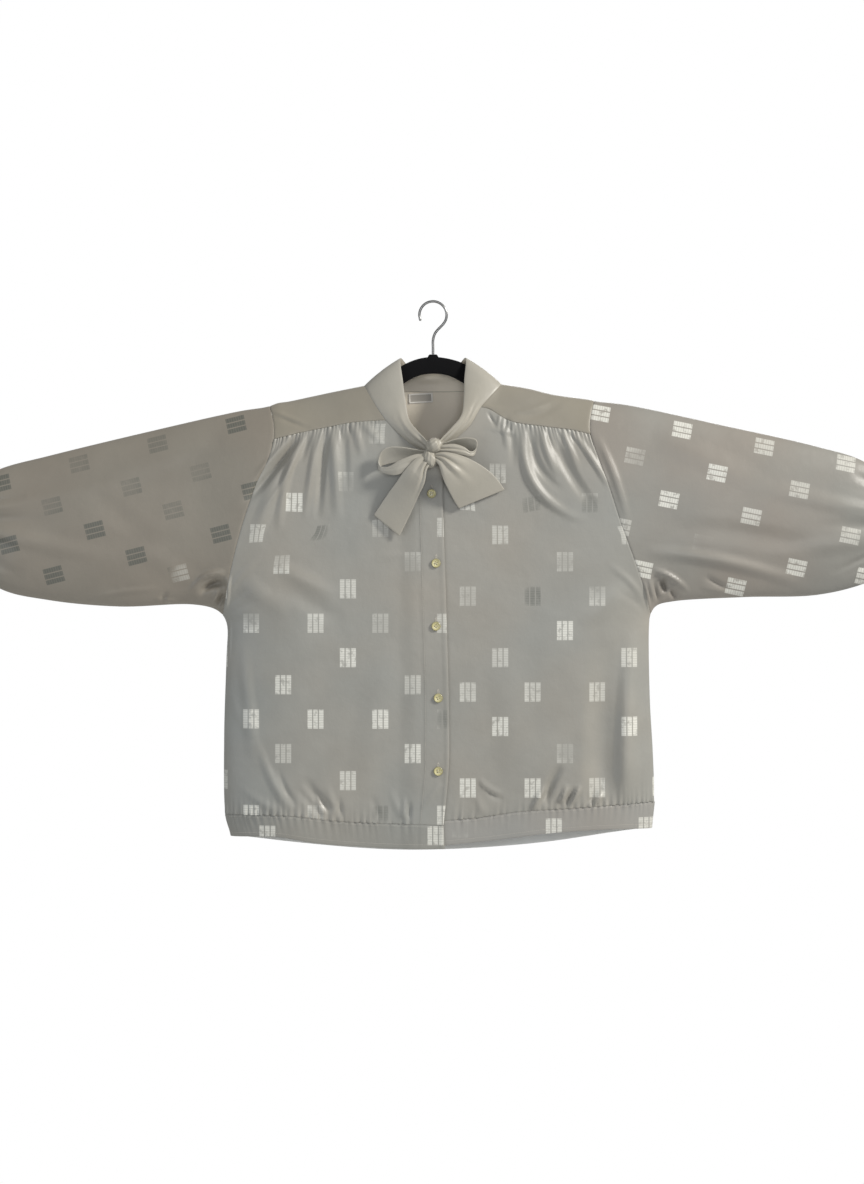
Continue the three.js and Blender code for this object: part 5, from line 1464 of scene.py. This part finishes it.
LOOP_CREASES = table(CREASE,
    (0.2, 0.3, 0.1, 1, 8, 24), (0.5, 0, 0.09, -1.2, 8, 28), (0.78, -0.3, 0.1, 1, 8, 24),
    (0.35, 0, 0.1, -0.8, 46, 20))
LEFT_TAIL_CREASES = table(CREASE,
    (0.16, -0.1, 0.1, 0.9, 4, 20), (0.4, 0.1, 0.09, -1.3, 6, 26), (0.62, 0.3, 0.09, 1.2, 10, 26),
    (0.8, 0.25, 0.07, -1.5, 14, 34), (0.96, 0, 0.08, 1.2, 22, 24))
RIGHT_TAIL_CREASES = table(CREASE,
    (0.12, -0.1, 0.1, 1, 8, 30), (0.34, 0, 0.08, -1.3, 12, 32), (0.5, 0, 0.07, 1.5, 24, 24),
    (0.64, 0, 0.07, -1.5, 18, 26), (0.82, 0, 0.08, 1.1, 10, 26))
strip_piece("tie_loop_left", LOOP_LEFT, 120, 22, LOOP_CREASES)
strip_piece("tie_loop_right", LOOP_RIGHT, 110, 18, LOOP_CREASES)
strip_piece("tie_tail_left", TAIL_LEFT, 90, 34, LEFT_TAIL_CREASES)
strip_piece("tie_tail_right", TAIL_RIGHT, 90, 44, RIGHT_TAIL_CREASES)


def lobe(x, y, z, wide, deep, high, tilt):
    """A crumpled ball of cloth: rings of points from its top to its bottom."""
    theta = np.linspace(0.03, np.pi - 0.03, 44)[:, None]
    phi = np.linspace(0, 2 * np.pi, 72, endpoint=False)[None]
    wrap = (1 + 0.06 * np.sin(3 * phi + 2.5 * np.cos(theta)) + 0.05 * np.sin(5 * phi - 4 * theta)
            + 0.03 * np.sin(11 * phi + 6 * theta))
    ball = np.stack([np.sin(theta) * np.cos(phi) * wide * wrap, np.sin(theta) * np.sin(phi) * deep * wrap,
                     np.cos(theta) * high * (0.4 + 0.6 * wrap)], -1)
    turn = np.array(Matrix.Rotation(tilt, 3, "Y"))
    return ball @ turn.T + np.array([x, y, z])


def baked(holder, name):
    """The mesh that an object's modifiers make of it. The object itself is removed."""
    mesh = bpy.data.meshes.new_from_object(holder.evaluated_get(bpy.context.evaluated_depsgraph_get()))
    mesh.name = name
    bpy.data.objects.remove(holder)
    return mesh


def vertex_places(mesh):
    flat = np.empty(len(mesh.vertices) * 3)
    mesh.vertices.foreach_get("co", flat)
    return flat.reshape(-1, 3) / MM


KNOT_VOXEL = 0.0005


def knot_piece():
    """The knot: its lobes made into one skin."""
    verts, faces = [], []
    for row in zip(*KNOT_LOBES.values()):
        own_verts, own_faces = ring_solid(lobe(*row))
        faces += [[number + sum(map(len, verts)) for number in face] for face in own_faces]
        verts.append(own_verts)
    holder = make_object("knot lobes", np.concatenate(verts), faces, [tie_satin])
    remesh = holder.modifiers.new("one skin", "REMESH")
    remesh.mode = "VOXEL"
    remesh.voxel_size = KNOT_VOXEL
    soften = holder.modifiers.new("soften", "SMOOTH")
    soften.iterations = 4
    skin = baked(holder, "knot skin")
    places = vertex_places(skin)
    faces = [list(polygon.vertices) for polygon in skin.polygons]
    piece = make_object("tie_knot_cloth", places, faces, [tie_satin], places[:, (0, 2)] * MM)
    settle(piece, "tie_satin", "tie_knot")


knot_piece()


# Buttons: dished discs with four holes, sewn on with two bars of thread
BUTTONS = table("x z", (-2, -265), (4, -360), (4, -446), (7, -544), (7, -644))
BUTTON_PROFILE = table("r h",
    (0.02, 0), (5.4, 0), (6, 0.3), (6.25, 0.9), (6.25, 1.5), (6.1, 2.05), (5.6, 2.38), (5, 2.3),
    (4.5, 1.95), (4, 1.68), (3.2, 1.6), (0.02, 1.55))
SIDES = (("left", left), ("right", right))
BUTTON_SIDES, BUTTON_LIFT = 56, 0.1
HOLE_RADIUS, HOLE_OFFSET, HOLE_SIDES = 0.75, 1.3, 20
THREAD_RADIUS, THREAD_SIDES, THREAD_STEPS = 0.36, 8, 9
THREAD_LOW, THREAD_BEND = 1.2, 0.95
ALONG_Y = np.array([0, 1.0, 0])


def ring(radius, height, sides):
    angle = np.linspace(0, 2 * np.pi, sides, endpoint=False)
    return np.stack([radius * np.cos(angle), radius * np.sin(angle), np.full(sides, height)], -1)


def button_template():
    """Vertices and faces of one button, drilled."""
    rings = [ring(r, h, BUTTON_SIDES) for r, h in zip(*BUTTON_PROFILE.values())]
    button = make_object("button body", *ring_solid(rings), [])
    drills = []
    for x in (-HOLE_OFFSET, HOLE_OFFSET):
        for y in (-HOLE_OFFSET, HOLE_OFFSET):
            rod = [ring(HOLE_RADIUS, h, HOLE_SIDES) + np.array([x, y, 0]) for h in (-1, 4)]
            drill = make_object("drill", *ring_solid(rod), [])
            cut = button.modifiers.new("hole", "BOOLEAN")
            cut.operation = "DIFFERENCE"
            cut.object = drill
            drills.append(drill)
    mesh = baked(button, "drilled button")
    for drill in drills:
        bpy.data.objects.remove(drill)
    return vertex_places(mesh), [list(polygon.vertices) for polygon in mesh.polygons]


def thread_bars():
    """Two bars of thread from hole to hole, each a bent rod."""
    bend = np.linspace(0, np.pi, THREAD_STEPS)
    x = -HOLE_OFFSET * np.cos(bend)
    height = THREAD_LOW + THREAD_BEND * np.sin(bend)
    radii = np.full(THREAD_STEPS, THREAD_RADIUS)
    rods = []
    for y in (-HOLE_OFFSET, HOLE_OFFSET):
        path = np.stack([x, np.full(THREAD_STEPS, y), height], -1)
        tangent = unit(np.gradient(path, axis=0))
        rods.append(ring_solid(tube_rings(path, tangent, ALONG_Y, radii, THREAD_SIDES)))
    return rods


def tube_rings(path, tangent, side, radii, sides):
    """Rings round a path that bends in the plane square to side."""
    other = np.cross(tangent, side)
    angle = np.linspace(0, 2 * np.pi, sides, endpoint=False)
    round_it = np.cos(angle)[None, :, None] * side + np.sin(angle)[None, :, None] * other[:, None]
    return path[:, None] + round_it * radii[:, None, None]


def placed_on_cloth(verts, place, face, turn, lift):
    """Turns a thing that lies flat, with its top upwards, onto the cloth."""
    spot = np.array([place], float)
    out = outward(spot, face)[0]
    at = on_cloth(spot, face)[0] + out * lift
    u = unit(np.cross(out, np.array([0, 0, 1.0])))
    v = np.cross(out, u)
    x_axis = u * math.cos(turn) + v * math.sin(turn)
    basis = np.stack([x_axis, np.cross(out, x_axis), out])
    return verts @ basis + at


CUFF_BUTTON_SHARE = 0.55


def cuff_middle(side):
    """The place of a cuff's button, on the back of the cuff."""
    ridge_start, under_start = side["sleeve_end"]
    ridge_end, under_end = side["cuff_end"]
    top = side["ridge"].at((ridge_start + ridge_end) / 2)
    under = side["under"].at((under_start + under_end) / 2)
    return top[0] / 2 + under[0] / 2, top[1] + (under[1] - top[1]) * CUFF_BUTTON_SHARE


def buttons():
    """All seven buttons, each turned its own way, and the thread that holds them."""
    verts, faces = button_template()
    radius = np.hypot(verts[:, 0], verts[:, 1])
    pattern = np.stack([radius, verts[:, 2]], -1) * MM
    front_places = enumerate(zip(*BUTTONS.values()), 1)
    sewn_on = [(f"button_{number}", place, LAPPED_FRONT) for number, place in front_places]
    sewn_on += [(f"cuff_button_{name}", cuff_middle(side), BACK) for name, side in SIDES]
    thread_verts, thread_faces = [], []
    rng = np.random.default_rng(5)
    for name, place, face in sewn_on:
        turn = rng.uniform(0, math.pi / 2)
        lift = (DOUBLED if face is BACK else CLOTH) / 2 + BUTTON_LIFT
        body_verts = placed_on_cloth(verts, place, face, turn, lift)
        settle(make_object(f"{name}_pearl", body_verts, faces, [pearl], pattern), "pearl_button", name)
        for bar_verts, bar_faces in thread_bars():
            used = sum(map(len, thread_verts))
            thread_verts.append(placed_on_cloth(bar_verts, place, face, turn, lift))
            thread_faces += [[number + used for number in row] for row in bar_faces]
    threads = make_object("button_threads", np.concatenate(thread_verts), thread_faces, [button_thread])
    settle(threads, "pearl_button")


buttons()


# Stitches, by geometry nodes along lines of points that carry the way out of the cloth
def stitches_tree():
    inputs = [("Geometry", "NodeSocketGeometry", None), ("Spacing", "NodeSocketFloat", 0.0028),
              ("Length", "NodeSocketFloat", 0.0022), ("Width", "NodeSocketFloat", 0.0005),
              ("Turn", "NodeSocketFloat", 0.0), ("Jitter", "NodeSocketFloat", 0.1),
              ("Seed", "NodeSocketInt", 1), ("Material", "NodeSocketMaterial", None)]
    outputs = [("Geometry", "NodeSocketGeometry")]
    tree, given, result = new_tree("stitches", "GeometryNodeTree", inputs, outputs)
    curve = put(tree, "GeometryNodeMeshToCurve", None, Mesh=given["Geometry"]).outputs[0]
    points = put(tree, "GeometryNodeResampleCurve", {"mode": "LENGTH"},
                 Curve=curve, Length=given["Spacing"]).outputs[0]
    tangent = put(tree, "GeometryNodeInputTangent").outputs[0]
    out = put(tree, "GeometryNodeInputNamedAttribute", {"data_type": "FLOAT_VECTOR"}, Name="out").outputs[0]
    along = put(tree, "FunctionNodeAlignRotationToVector", {"axis": "X"}, Vector=tangent).outputs[0]
    upright = put(tree, "FunctionNodeAlignRotationToVector", {"axis": "Z", "pivot_axis": "X"},
                  Rotation=along, Vector=out).outputs[0]
    least = times(tree, given["Jitter"], -1.0)
    jitter = put(tree, "FunctionNodeRandomValue", {"data_type": "FLOAT"}, in2=least, in3=given["Jitter"],
                 Seed=given["Seed"]).outputs[1]
    turn = put(tree, "ShaderNodeCombineXYZ", in2=math_node(tree, "ADD", given["Turn"], jitter)).outputs[0]
    half_length = times(tree, given["Length"], 0.5)
    half_width = times(tree, given["Width"], 0.5)
    size = put(tree, "ShaderNodeCombineXYZ", in0=half_length, in1=half_width, in2=half_width).outputs[0]
    bead = put(tree, "GeometryNodeMeshUVSphere", None, Segments=8, Rings=5, Radius=1.0).outputs[0]
    placed = put(tree, "GeometryNodeInstanceOnPoints", None, Points=points, Instance=bead, Rotation=upright,
                 Scale=size).outputs[0]
    turned = put(tree, "GeometryNodeRotateInstances", None, Instances=placed, Rotation=turn).outputs[0]
    real = put(tree, "GeometryNodeRealizeInstances", None, Geometry=turned).outputs[0]
    shaded = put(tree, "GeometryNodeSetShadeSmooth", None, Geometry=real).outputs[0]
    finished = put(tree, "GeometryNodeSetMaterial", None, Geometry=shaded, Material=given["Material"])
    tree.links.new(finished.outputs[0], result["Geometry"])
    return tree


stitches = stitches_tree()
STITCH_LIFT = 0.05


def sewn(name, lines, slot, **settings):
    """Stitches along lines, each a pair of points and directions out of the cloth."""
    verts, edges, outs = [], [], []
    used = 0
    for points, out in lines:
        verts.append(points + out * STITCH_LIFT)
        outs.append(out)
        edges += [(used + i, used + i + 1) for i in range(len(points) - 1)]
        used += len(points)
    mesh = bpy.data.meshes.new(name)
    mesh.from_pydata((np.concatenate(verts) * MM).tolist(), edges, [])
    way_out = mesh.attributes.new("out", "FLOAT_VECTOR", "POINT")
    way_out.data.foreach_set("vector", np.concatenate(outs).ravel())
    holder = bpy.data.objects.new(name, mesh)
    bpy.context.scene.collection.objects.link(holder)
    modifier = holder.modifiers.new("stitches", "NODES")
    modifier.node_group = stitches
    items = stitches.interface.items_tree
    sockets = {item.name: item.identifier for item in items if item.in_out == "INPUT"}
    for label, value in {**settings, "Material": thread}.items():
        modifier[sockets[label]] = value
    piece = bpy.data.objects.new(name, baked(holder, name))
    bpy.context.scene.collection.objects.link(piece)
    settle(piece, slot)


def line_on(places, face):
    """A line for stitches over the places on the cloth."""
    out = outward(places, face)
    return on_cloth(places, face) + out * CLOTH / 2, out


def grid_line(grid, row, thickness=CLOTH):
    """A line for stitches along one row of a piece's grid."""
    points, normals = grid
    return points[row] + normals[row] * thickness / 2, normals[row]


PLACKET_TOP, PLACKET_FOOT, PLACKET_STEPS = -238, -714, 160
PLACKET_SEWN = 1.6
BUTTONHOLE_LONG, BUTTONHOLE_WIDE, BUTTONHOLE_UP = 15, 0.85, 4


def placket_line():
    z = np.linspace(PLACKET_TOP, PLACKET_FOOT, PLACKET_STEPS)
    x = placket_edge(z) + PLACKET_SEWN
    return line_on(np.stack([x, z], -1), LAPPED_FRONT)


def buttonhole_line(x, z):
    """Up one side of a buttonhole and down the other, round its ends."""
    angle = np.linspace(0, 2 * np.pi, 65)
    straight_part = BUTTONHOLE_LONG / 2 - BUTTONHOLE_WIDE
    across = BUTTONHOLE_WIDE * np.cos(angle)
    along = BUTTONHOLE_WIDE * np.sin(angle) + straight_part * np.tanh(4 * np.sin(angle))
    return line_on(np.stack([x + across, z + BUTTONHOLE_UP + along], -1), LAPPED_FRONT)


sewn("placket_stitches", [placket_line()], "jacquard_satin",
     Spacing=0.0027, Length=0.0021, Width=0.00045, Seed=3)
sewn("buttonhole_stitches", [buttonhole_line(*place) for place in zip(*BUTTONS.values())], "jacquard_satin",
     Spacing=0.0005, Length=0.0015, Width=0.00055, Turn=math.pi / 2, Jitter=0.12, Seed=4)
sewn("hem_stitches", [grid_line(grid, row) for grid in hem_bands for row in (1, BAND_ROWS - 2)], "band_satin",
     Spacing=0.0028, Length=0.0022, Width=0.00042, Seed=6)
closed_cuffs = [tuple(np.concatenate([part, part[:, :1]], 1) for part in grid) for grid in cuffs]
cuff_lines = [grid_line(grid, row, DOUBLED) for grid in closed_cuffs for row in (1, CUFF_ROWS - 1)]
sewn("cuff_stitches", cuff_lines, "band_satin", Spacing=0.0028, Length=0.0022, Width=0.00042, Seed=7)

# The neck label, on the inside of the yoke, left blank
LABEL_COLUMNS, LABEL_ROWS = 44, 18
LABEL_GAP, LABEL_SAG = 0.5, 0.35


def neck_label():
    u, v = np.meshgrid((even(LABEL_COLUMNS) - 0.5) * LABEL_WIDE, (0.5 - even(LABEL_ROWS)) * LABEL_HIGH)
    turn_cos, turn_sin = math.cos(LABEL_TILT), math.sin(LABEL_TILT)
    places = np.stack([LABEL_X + u * turn_cos - v * turn_sin, LABEL_Z + u * turn_sin + v * turn_cos], -1)
    out = outward(places, BACK)
    sag = LABEL_SAG * np.sin(u / 5) * np.cos(v / 7)
    points = on_cloth(places, BACK) - out * (CLOTH / 2 + LABEL_GAP + LABEL_THICK / 2 + sag[..., None])
    verts, faces, grid_spots = shell(points, out, LABEL_THICK)
    pattern = np.stack([u, v], -1).reshape(-1, 2)[grid_spots] * MM
    piece = make_object("neck_label_weave", verts, faces, [label_weave], pattern)
    settle(piece, "label_cloth", "neck_label")
    ends = [(points[:, k] - out[:, k] * LABEL_THICK / 2, -out[:, k]) for k in (1, -2)]
    sewn("label_stitches", ends, "label_cloth", Spacing=0.0016, Length=0.0012, Width=0.0004, Seed=8)


neck_label()

# The hanger: a flat velvet bar under the shoulders, arched through the neck, and its hook
HANGER_ARC_TOP = table("x z",
    (-80, -115), (-62, -101), (-41, -86), (-20, -77.5), (0, -75), (22, -77.5), (44, -85), (63, -100),
    (80, -114))
HANGER_ARC_BOTTOM = table("x z",
    (-66, -129), (-41, -112), (-20, -101), (0, -98), (22, -101), (43, -112), (66, -128))
HANGER_THICKNESS = 6
HANGER_EDGE = 2.2
HANGER_UNDER_RIDGE = 3
HANGER_ARM_HEIGHT, HANGER_TIP_HEIGHT = 19, 12
HANGER_TIP, ARM_START = 213.5, 98
TIP_ROUNDING, TIP_COLUMNS = 7, 10
HANGER_COLUMNS, HANGER_CORNER_STEPS = 300, 6
BOSS_HALF, BOSS_TOP, BOSS_DROP, BOSS_SLOPE = 7, -71.5, 5, 1.5
HOOK_WIRE, HOOK_INNER_RADIUS = 3.6, 17
HOOK_TIP_ANGLE, HOOK_STEM_ANGLE = 200, -38
HOOK_STEM = [(3, -42), (0, -52), (0, -62), (0, BOSS_TOP + 0.4)]
HOOK_STEPS, HOOK_SIDES, HOOK_TIP_STEPS = 160, 20, 7


def hanger_edge(near_drop, far_drop, arc, xs):
    """Heights of one long edge of the hanger: under the ridge on the arms, arched between them."""
    arms = []
    for sign, ridge in zip((-1, 1), ridges):
        x = np.linspace(ARM_START, HANGER_TIP, 8)
        under_ridge = np.array([ridge.at(ridge.share_at("x", sign * value))[1] for value in x])
        drop = near_drop + (far_drop - near_drop) * smooth(x, ARM_START, HANGER_TIP)
        arms.append(np.stack([sign * x, under_ridge - drop], -1))
    curve = catmull_rom(np.vstack([arms[0][::-1], spots(arc), arms[1]]), np.linspace(0, 1, 800))
    return np.interp(xs, curve[:, 0], curve[:, 1])


def hanger_piece():
    """The flat bar: rounded sections from one tip to the other."""
    tips = HANGER_TIP - TIP_ROUNDING * (1 - np.sin(even(TIP_COLUMNS) * np.pi / 2 * 0.96))
    plain_to = HANGER_TIP - TIP_ROUNDING - 1
    xs = np.concatenate([-tips[::-1], np.linspace(-plain_to, plain_to, HANGER_COLUMNS), tips])
    top = hanger_edge(HANGER_UNDER_RIDGE, HANGER_UNDER_RIDGE, HANGER_ARC_TOP, xs)
    bottom = hanger_edge(HANGER_ARM_HEIGHT, HANGER_TIP_HEIGHT, HANGER_ARC_BOTTOM, xs)
    boss = BOSS_TOP - BOSS_DROP * smooth(abs(xs), BOSS_HALF - 2, BOSS_HALF + BOSS_SLOPE)
    top = np.where(abs(xs) < BOSS_HALF + BOSS_SLOPE, np.maximum(top, boss), top)
    near_tip = np.clip((abs(xs) - (HANGER_TIP - TIP_ROUNDING)) / TIP_ROUNDING, 0, 1)
    half = (top - bottom) / 2 * np.sqrt(1 - near_tip ** 2)
    middle = (top + bottom) / 2
    corner = np.linspace(0, np.pi / 2, HANGER_CORNER_STEPS)
    rings = []
    for x, centre, high in zip(xs, middle, half):
        radius = min(HANGER_EDGE, high)
        section = []
        for quarter, (sy, sz) in enumerate(((1, 1), (-1, 1), (-1, -1), (1, -1))):
            angle = corner + quarter * np.pi / 2
            y = sy * (HANGER_THICKNESS / 2 - HANGER_EDGE) + HANGER_EDGE * np.cos(angle)
            z = centre + sz * (high - radius) + radius * np.sin(angle)
            section.append(np.stack([np.full(HANGER_CORNER_STEPS, x), y, z], -1))
        rings.append(np.concatenate(section))
    settle(make_object("hanger_velvet", *ring_solid(rings), [velvet]), "black_velvet", "hanger")


def hook_piece():
    """The hook's wire: its arc over the rail, then its stem down into the hanger."""
    wire = HOOK_WIRE / 2
    radius = HOOK_INNER_RADIUS + wire
    angle = np.radians(np.linspace(HOOK_TIP_ANGLE, HOOK_STEM_ANGLE, 13))
    arc = np.stack([radius * np.cos(angle), radius * np.sin(angle) - HOOK_INNER_RADIUS], -1)
    flat = catmull_rom(np.vstack([arc, HOOK_STEM]), np.linspace(0, 1, HOOK_STEPS))
    path = np.stack([flat[:, 0], np.zeros(len(flat)), flat[:, 1]], -1)
    tangent = unit(np.gradient(path, axis=0))
    rounding = np.linspace(0.05, np.pi / 2, HOOK_TIP_STEPS)[:-1]
    tip = path[0] - tangent[0] * wire * np.cos(rounding)[:, None]
    radii = np.concatenate([wire * np.sin(rounding), np.full(len(path), wire)])
    tangents = np.vstack([np.repeat(tangent[:1], len(tip), 0), tangent])
    rings = tube_rings(np.vstack([tip, path]), tangents, ALONG_Y, radii, HOOK_SIDES)
    settle(make_object("hook_wire", *ring_solid(rings), [steel]), "hook_steel", "hook")


hanger_piece()
hook_piece()

# Stage: a pale floor, soft studio light and the camera
PHOTO_SCALE = 1.38
PHOTO_HEIGHT = 1184
CAMERA_DISTANCE = 3.2
CAMERA_X, CAMERA_Z = -0.0014, -0.3993
FLOOR_Z = -1.6
FLOOR_HALF = 1.2
FLOOR_CORNERS = [(-1, -1), (1, -1), (1, 1), (-1, 1)]
LIGHT_TARGET = (0, 0, -0.4)
LIGHTS = [
    ("key", (3.6, -1.9, 2.0), 0.9, 212, (1, 0.965, 0.91)),
    ("front", (0.4, -3.4, 0.0), 1.2, 15, (0.95, 0.97, 1)),
    ("fill", (-2.2, -1.8, -0.5), 1.6, 14, (0.9, 0.95, 1)),
    ("back", (0.6, 2.6, 1.0), 1.8, 22, (1, 1, 1))]


def floor():
    verts = [(x * FLOOR_HALF / MM, y * FLOOR_HALF / MM, FLOOR_Z / MM) for x, y in FLOOR_CORNERS]
    material, _, shader = new_material("pale floor", Roughness=0.8)
    shader.inputs["Base Color"].default_value = rgb(236, 235, 232)
    make_object("floor", verts, [(0, 1, 2, 3)], [material])


def soft_light(name, place, size, watts, colour):
    """A round lamp that looks at the middle of the blouse."""
    light = bpy.data.lights.new(name, "AREA")
    light.shape = "DISK"
    light.size = size
    light.energy = watts
    light.color = colour
    lamp = bpy.data.objects.new(name, light)
    lamp.location = place
    lamp.rotation_euler = (Vector(LIGHT_TARGET) - Vector(place)).to_track_quat("-Z", "Y").to_euler()
    bpy.context.scene.collection.objects.link(lamp)


def studio():
    world = bpy.data.worlds.new("studio")
    bpy.context.scene.world = world
    world.use_nodes = True
    tree = world.node_tree
    background = tree.nodes["Background"]
    seen = put(tree, "ShaderNodeLightPath").outputs["Is Camera Ray"]
    strength = mapped(tree, seen, 0.0, 1.0, 0.3, 1.0)
    background.inputs["Color"].default_value = (1, 1, 1, 1)
    tree.links.new(strength, background.inputs["Strength"])
    for light in LIGHTS:
        soft_light(*light)
    bpy.context.scene.view_settings.view_transform = "Standard"


def camera():
    data = bpy.data.cameras.new("camera")
    height = PHOTO_HEIGHT * PHOTO_SCALE * MM
    data.sensor_width = 36
    data.lens = data.sensor_width * CAMERA_DISTANCE / height
    shot = bpy.data.objects.new("camera", data)
    shot.location = (CAMERA_X, -CAMERA_DISTANCE, CAMERA_Z)
    shot.rotation_euler = (math.pi / 2, 0, 0)
    bpy.context.scene.collection.objects.link(shot)
    bpy.context.scene.camera = shot


floor()
studio()
camera()
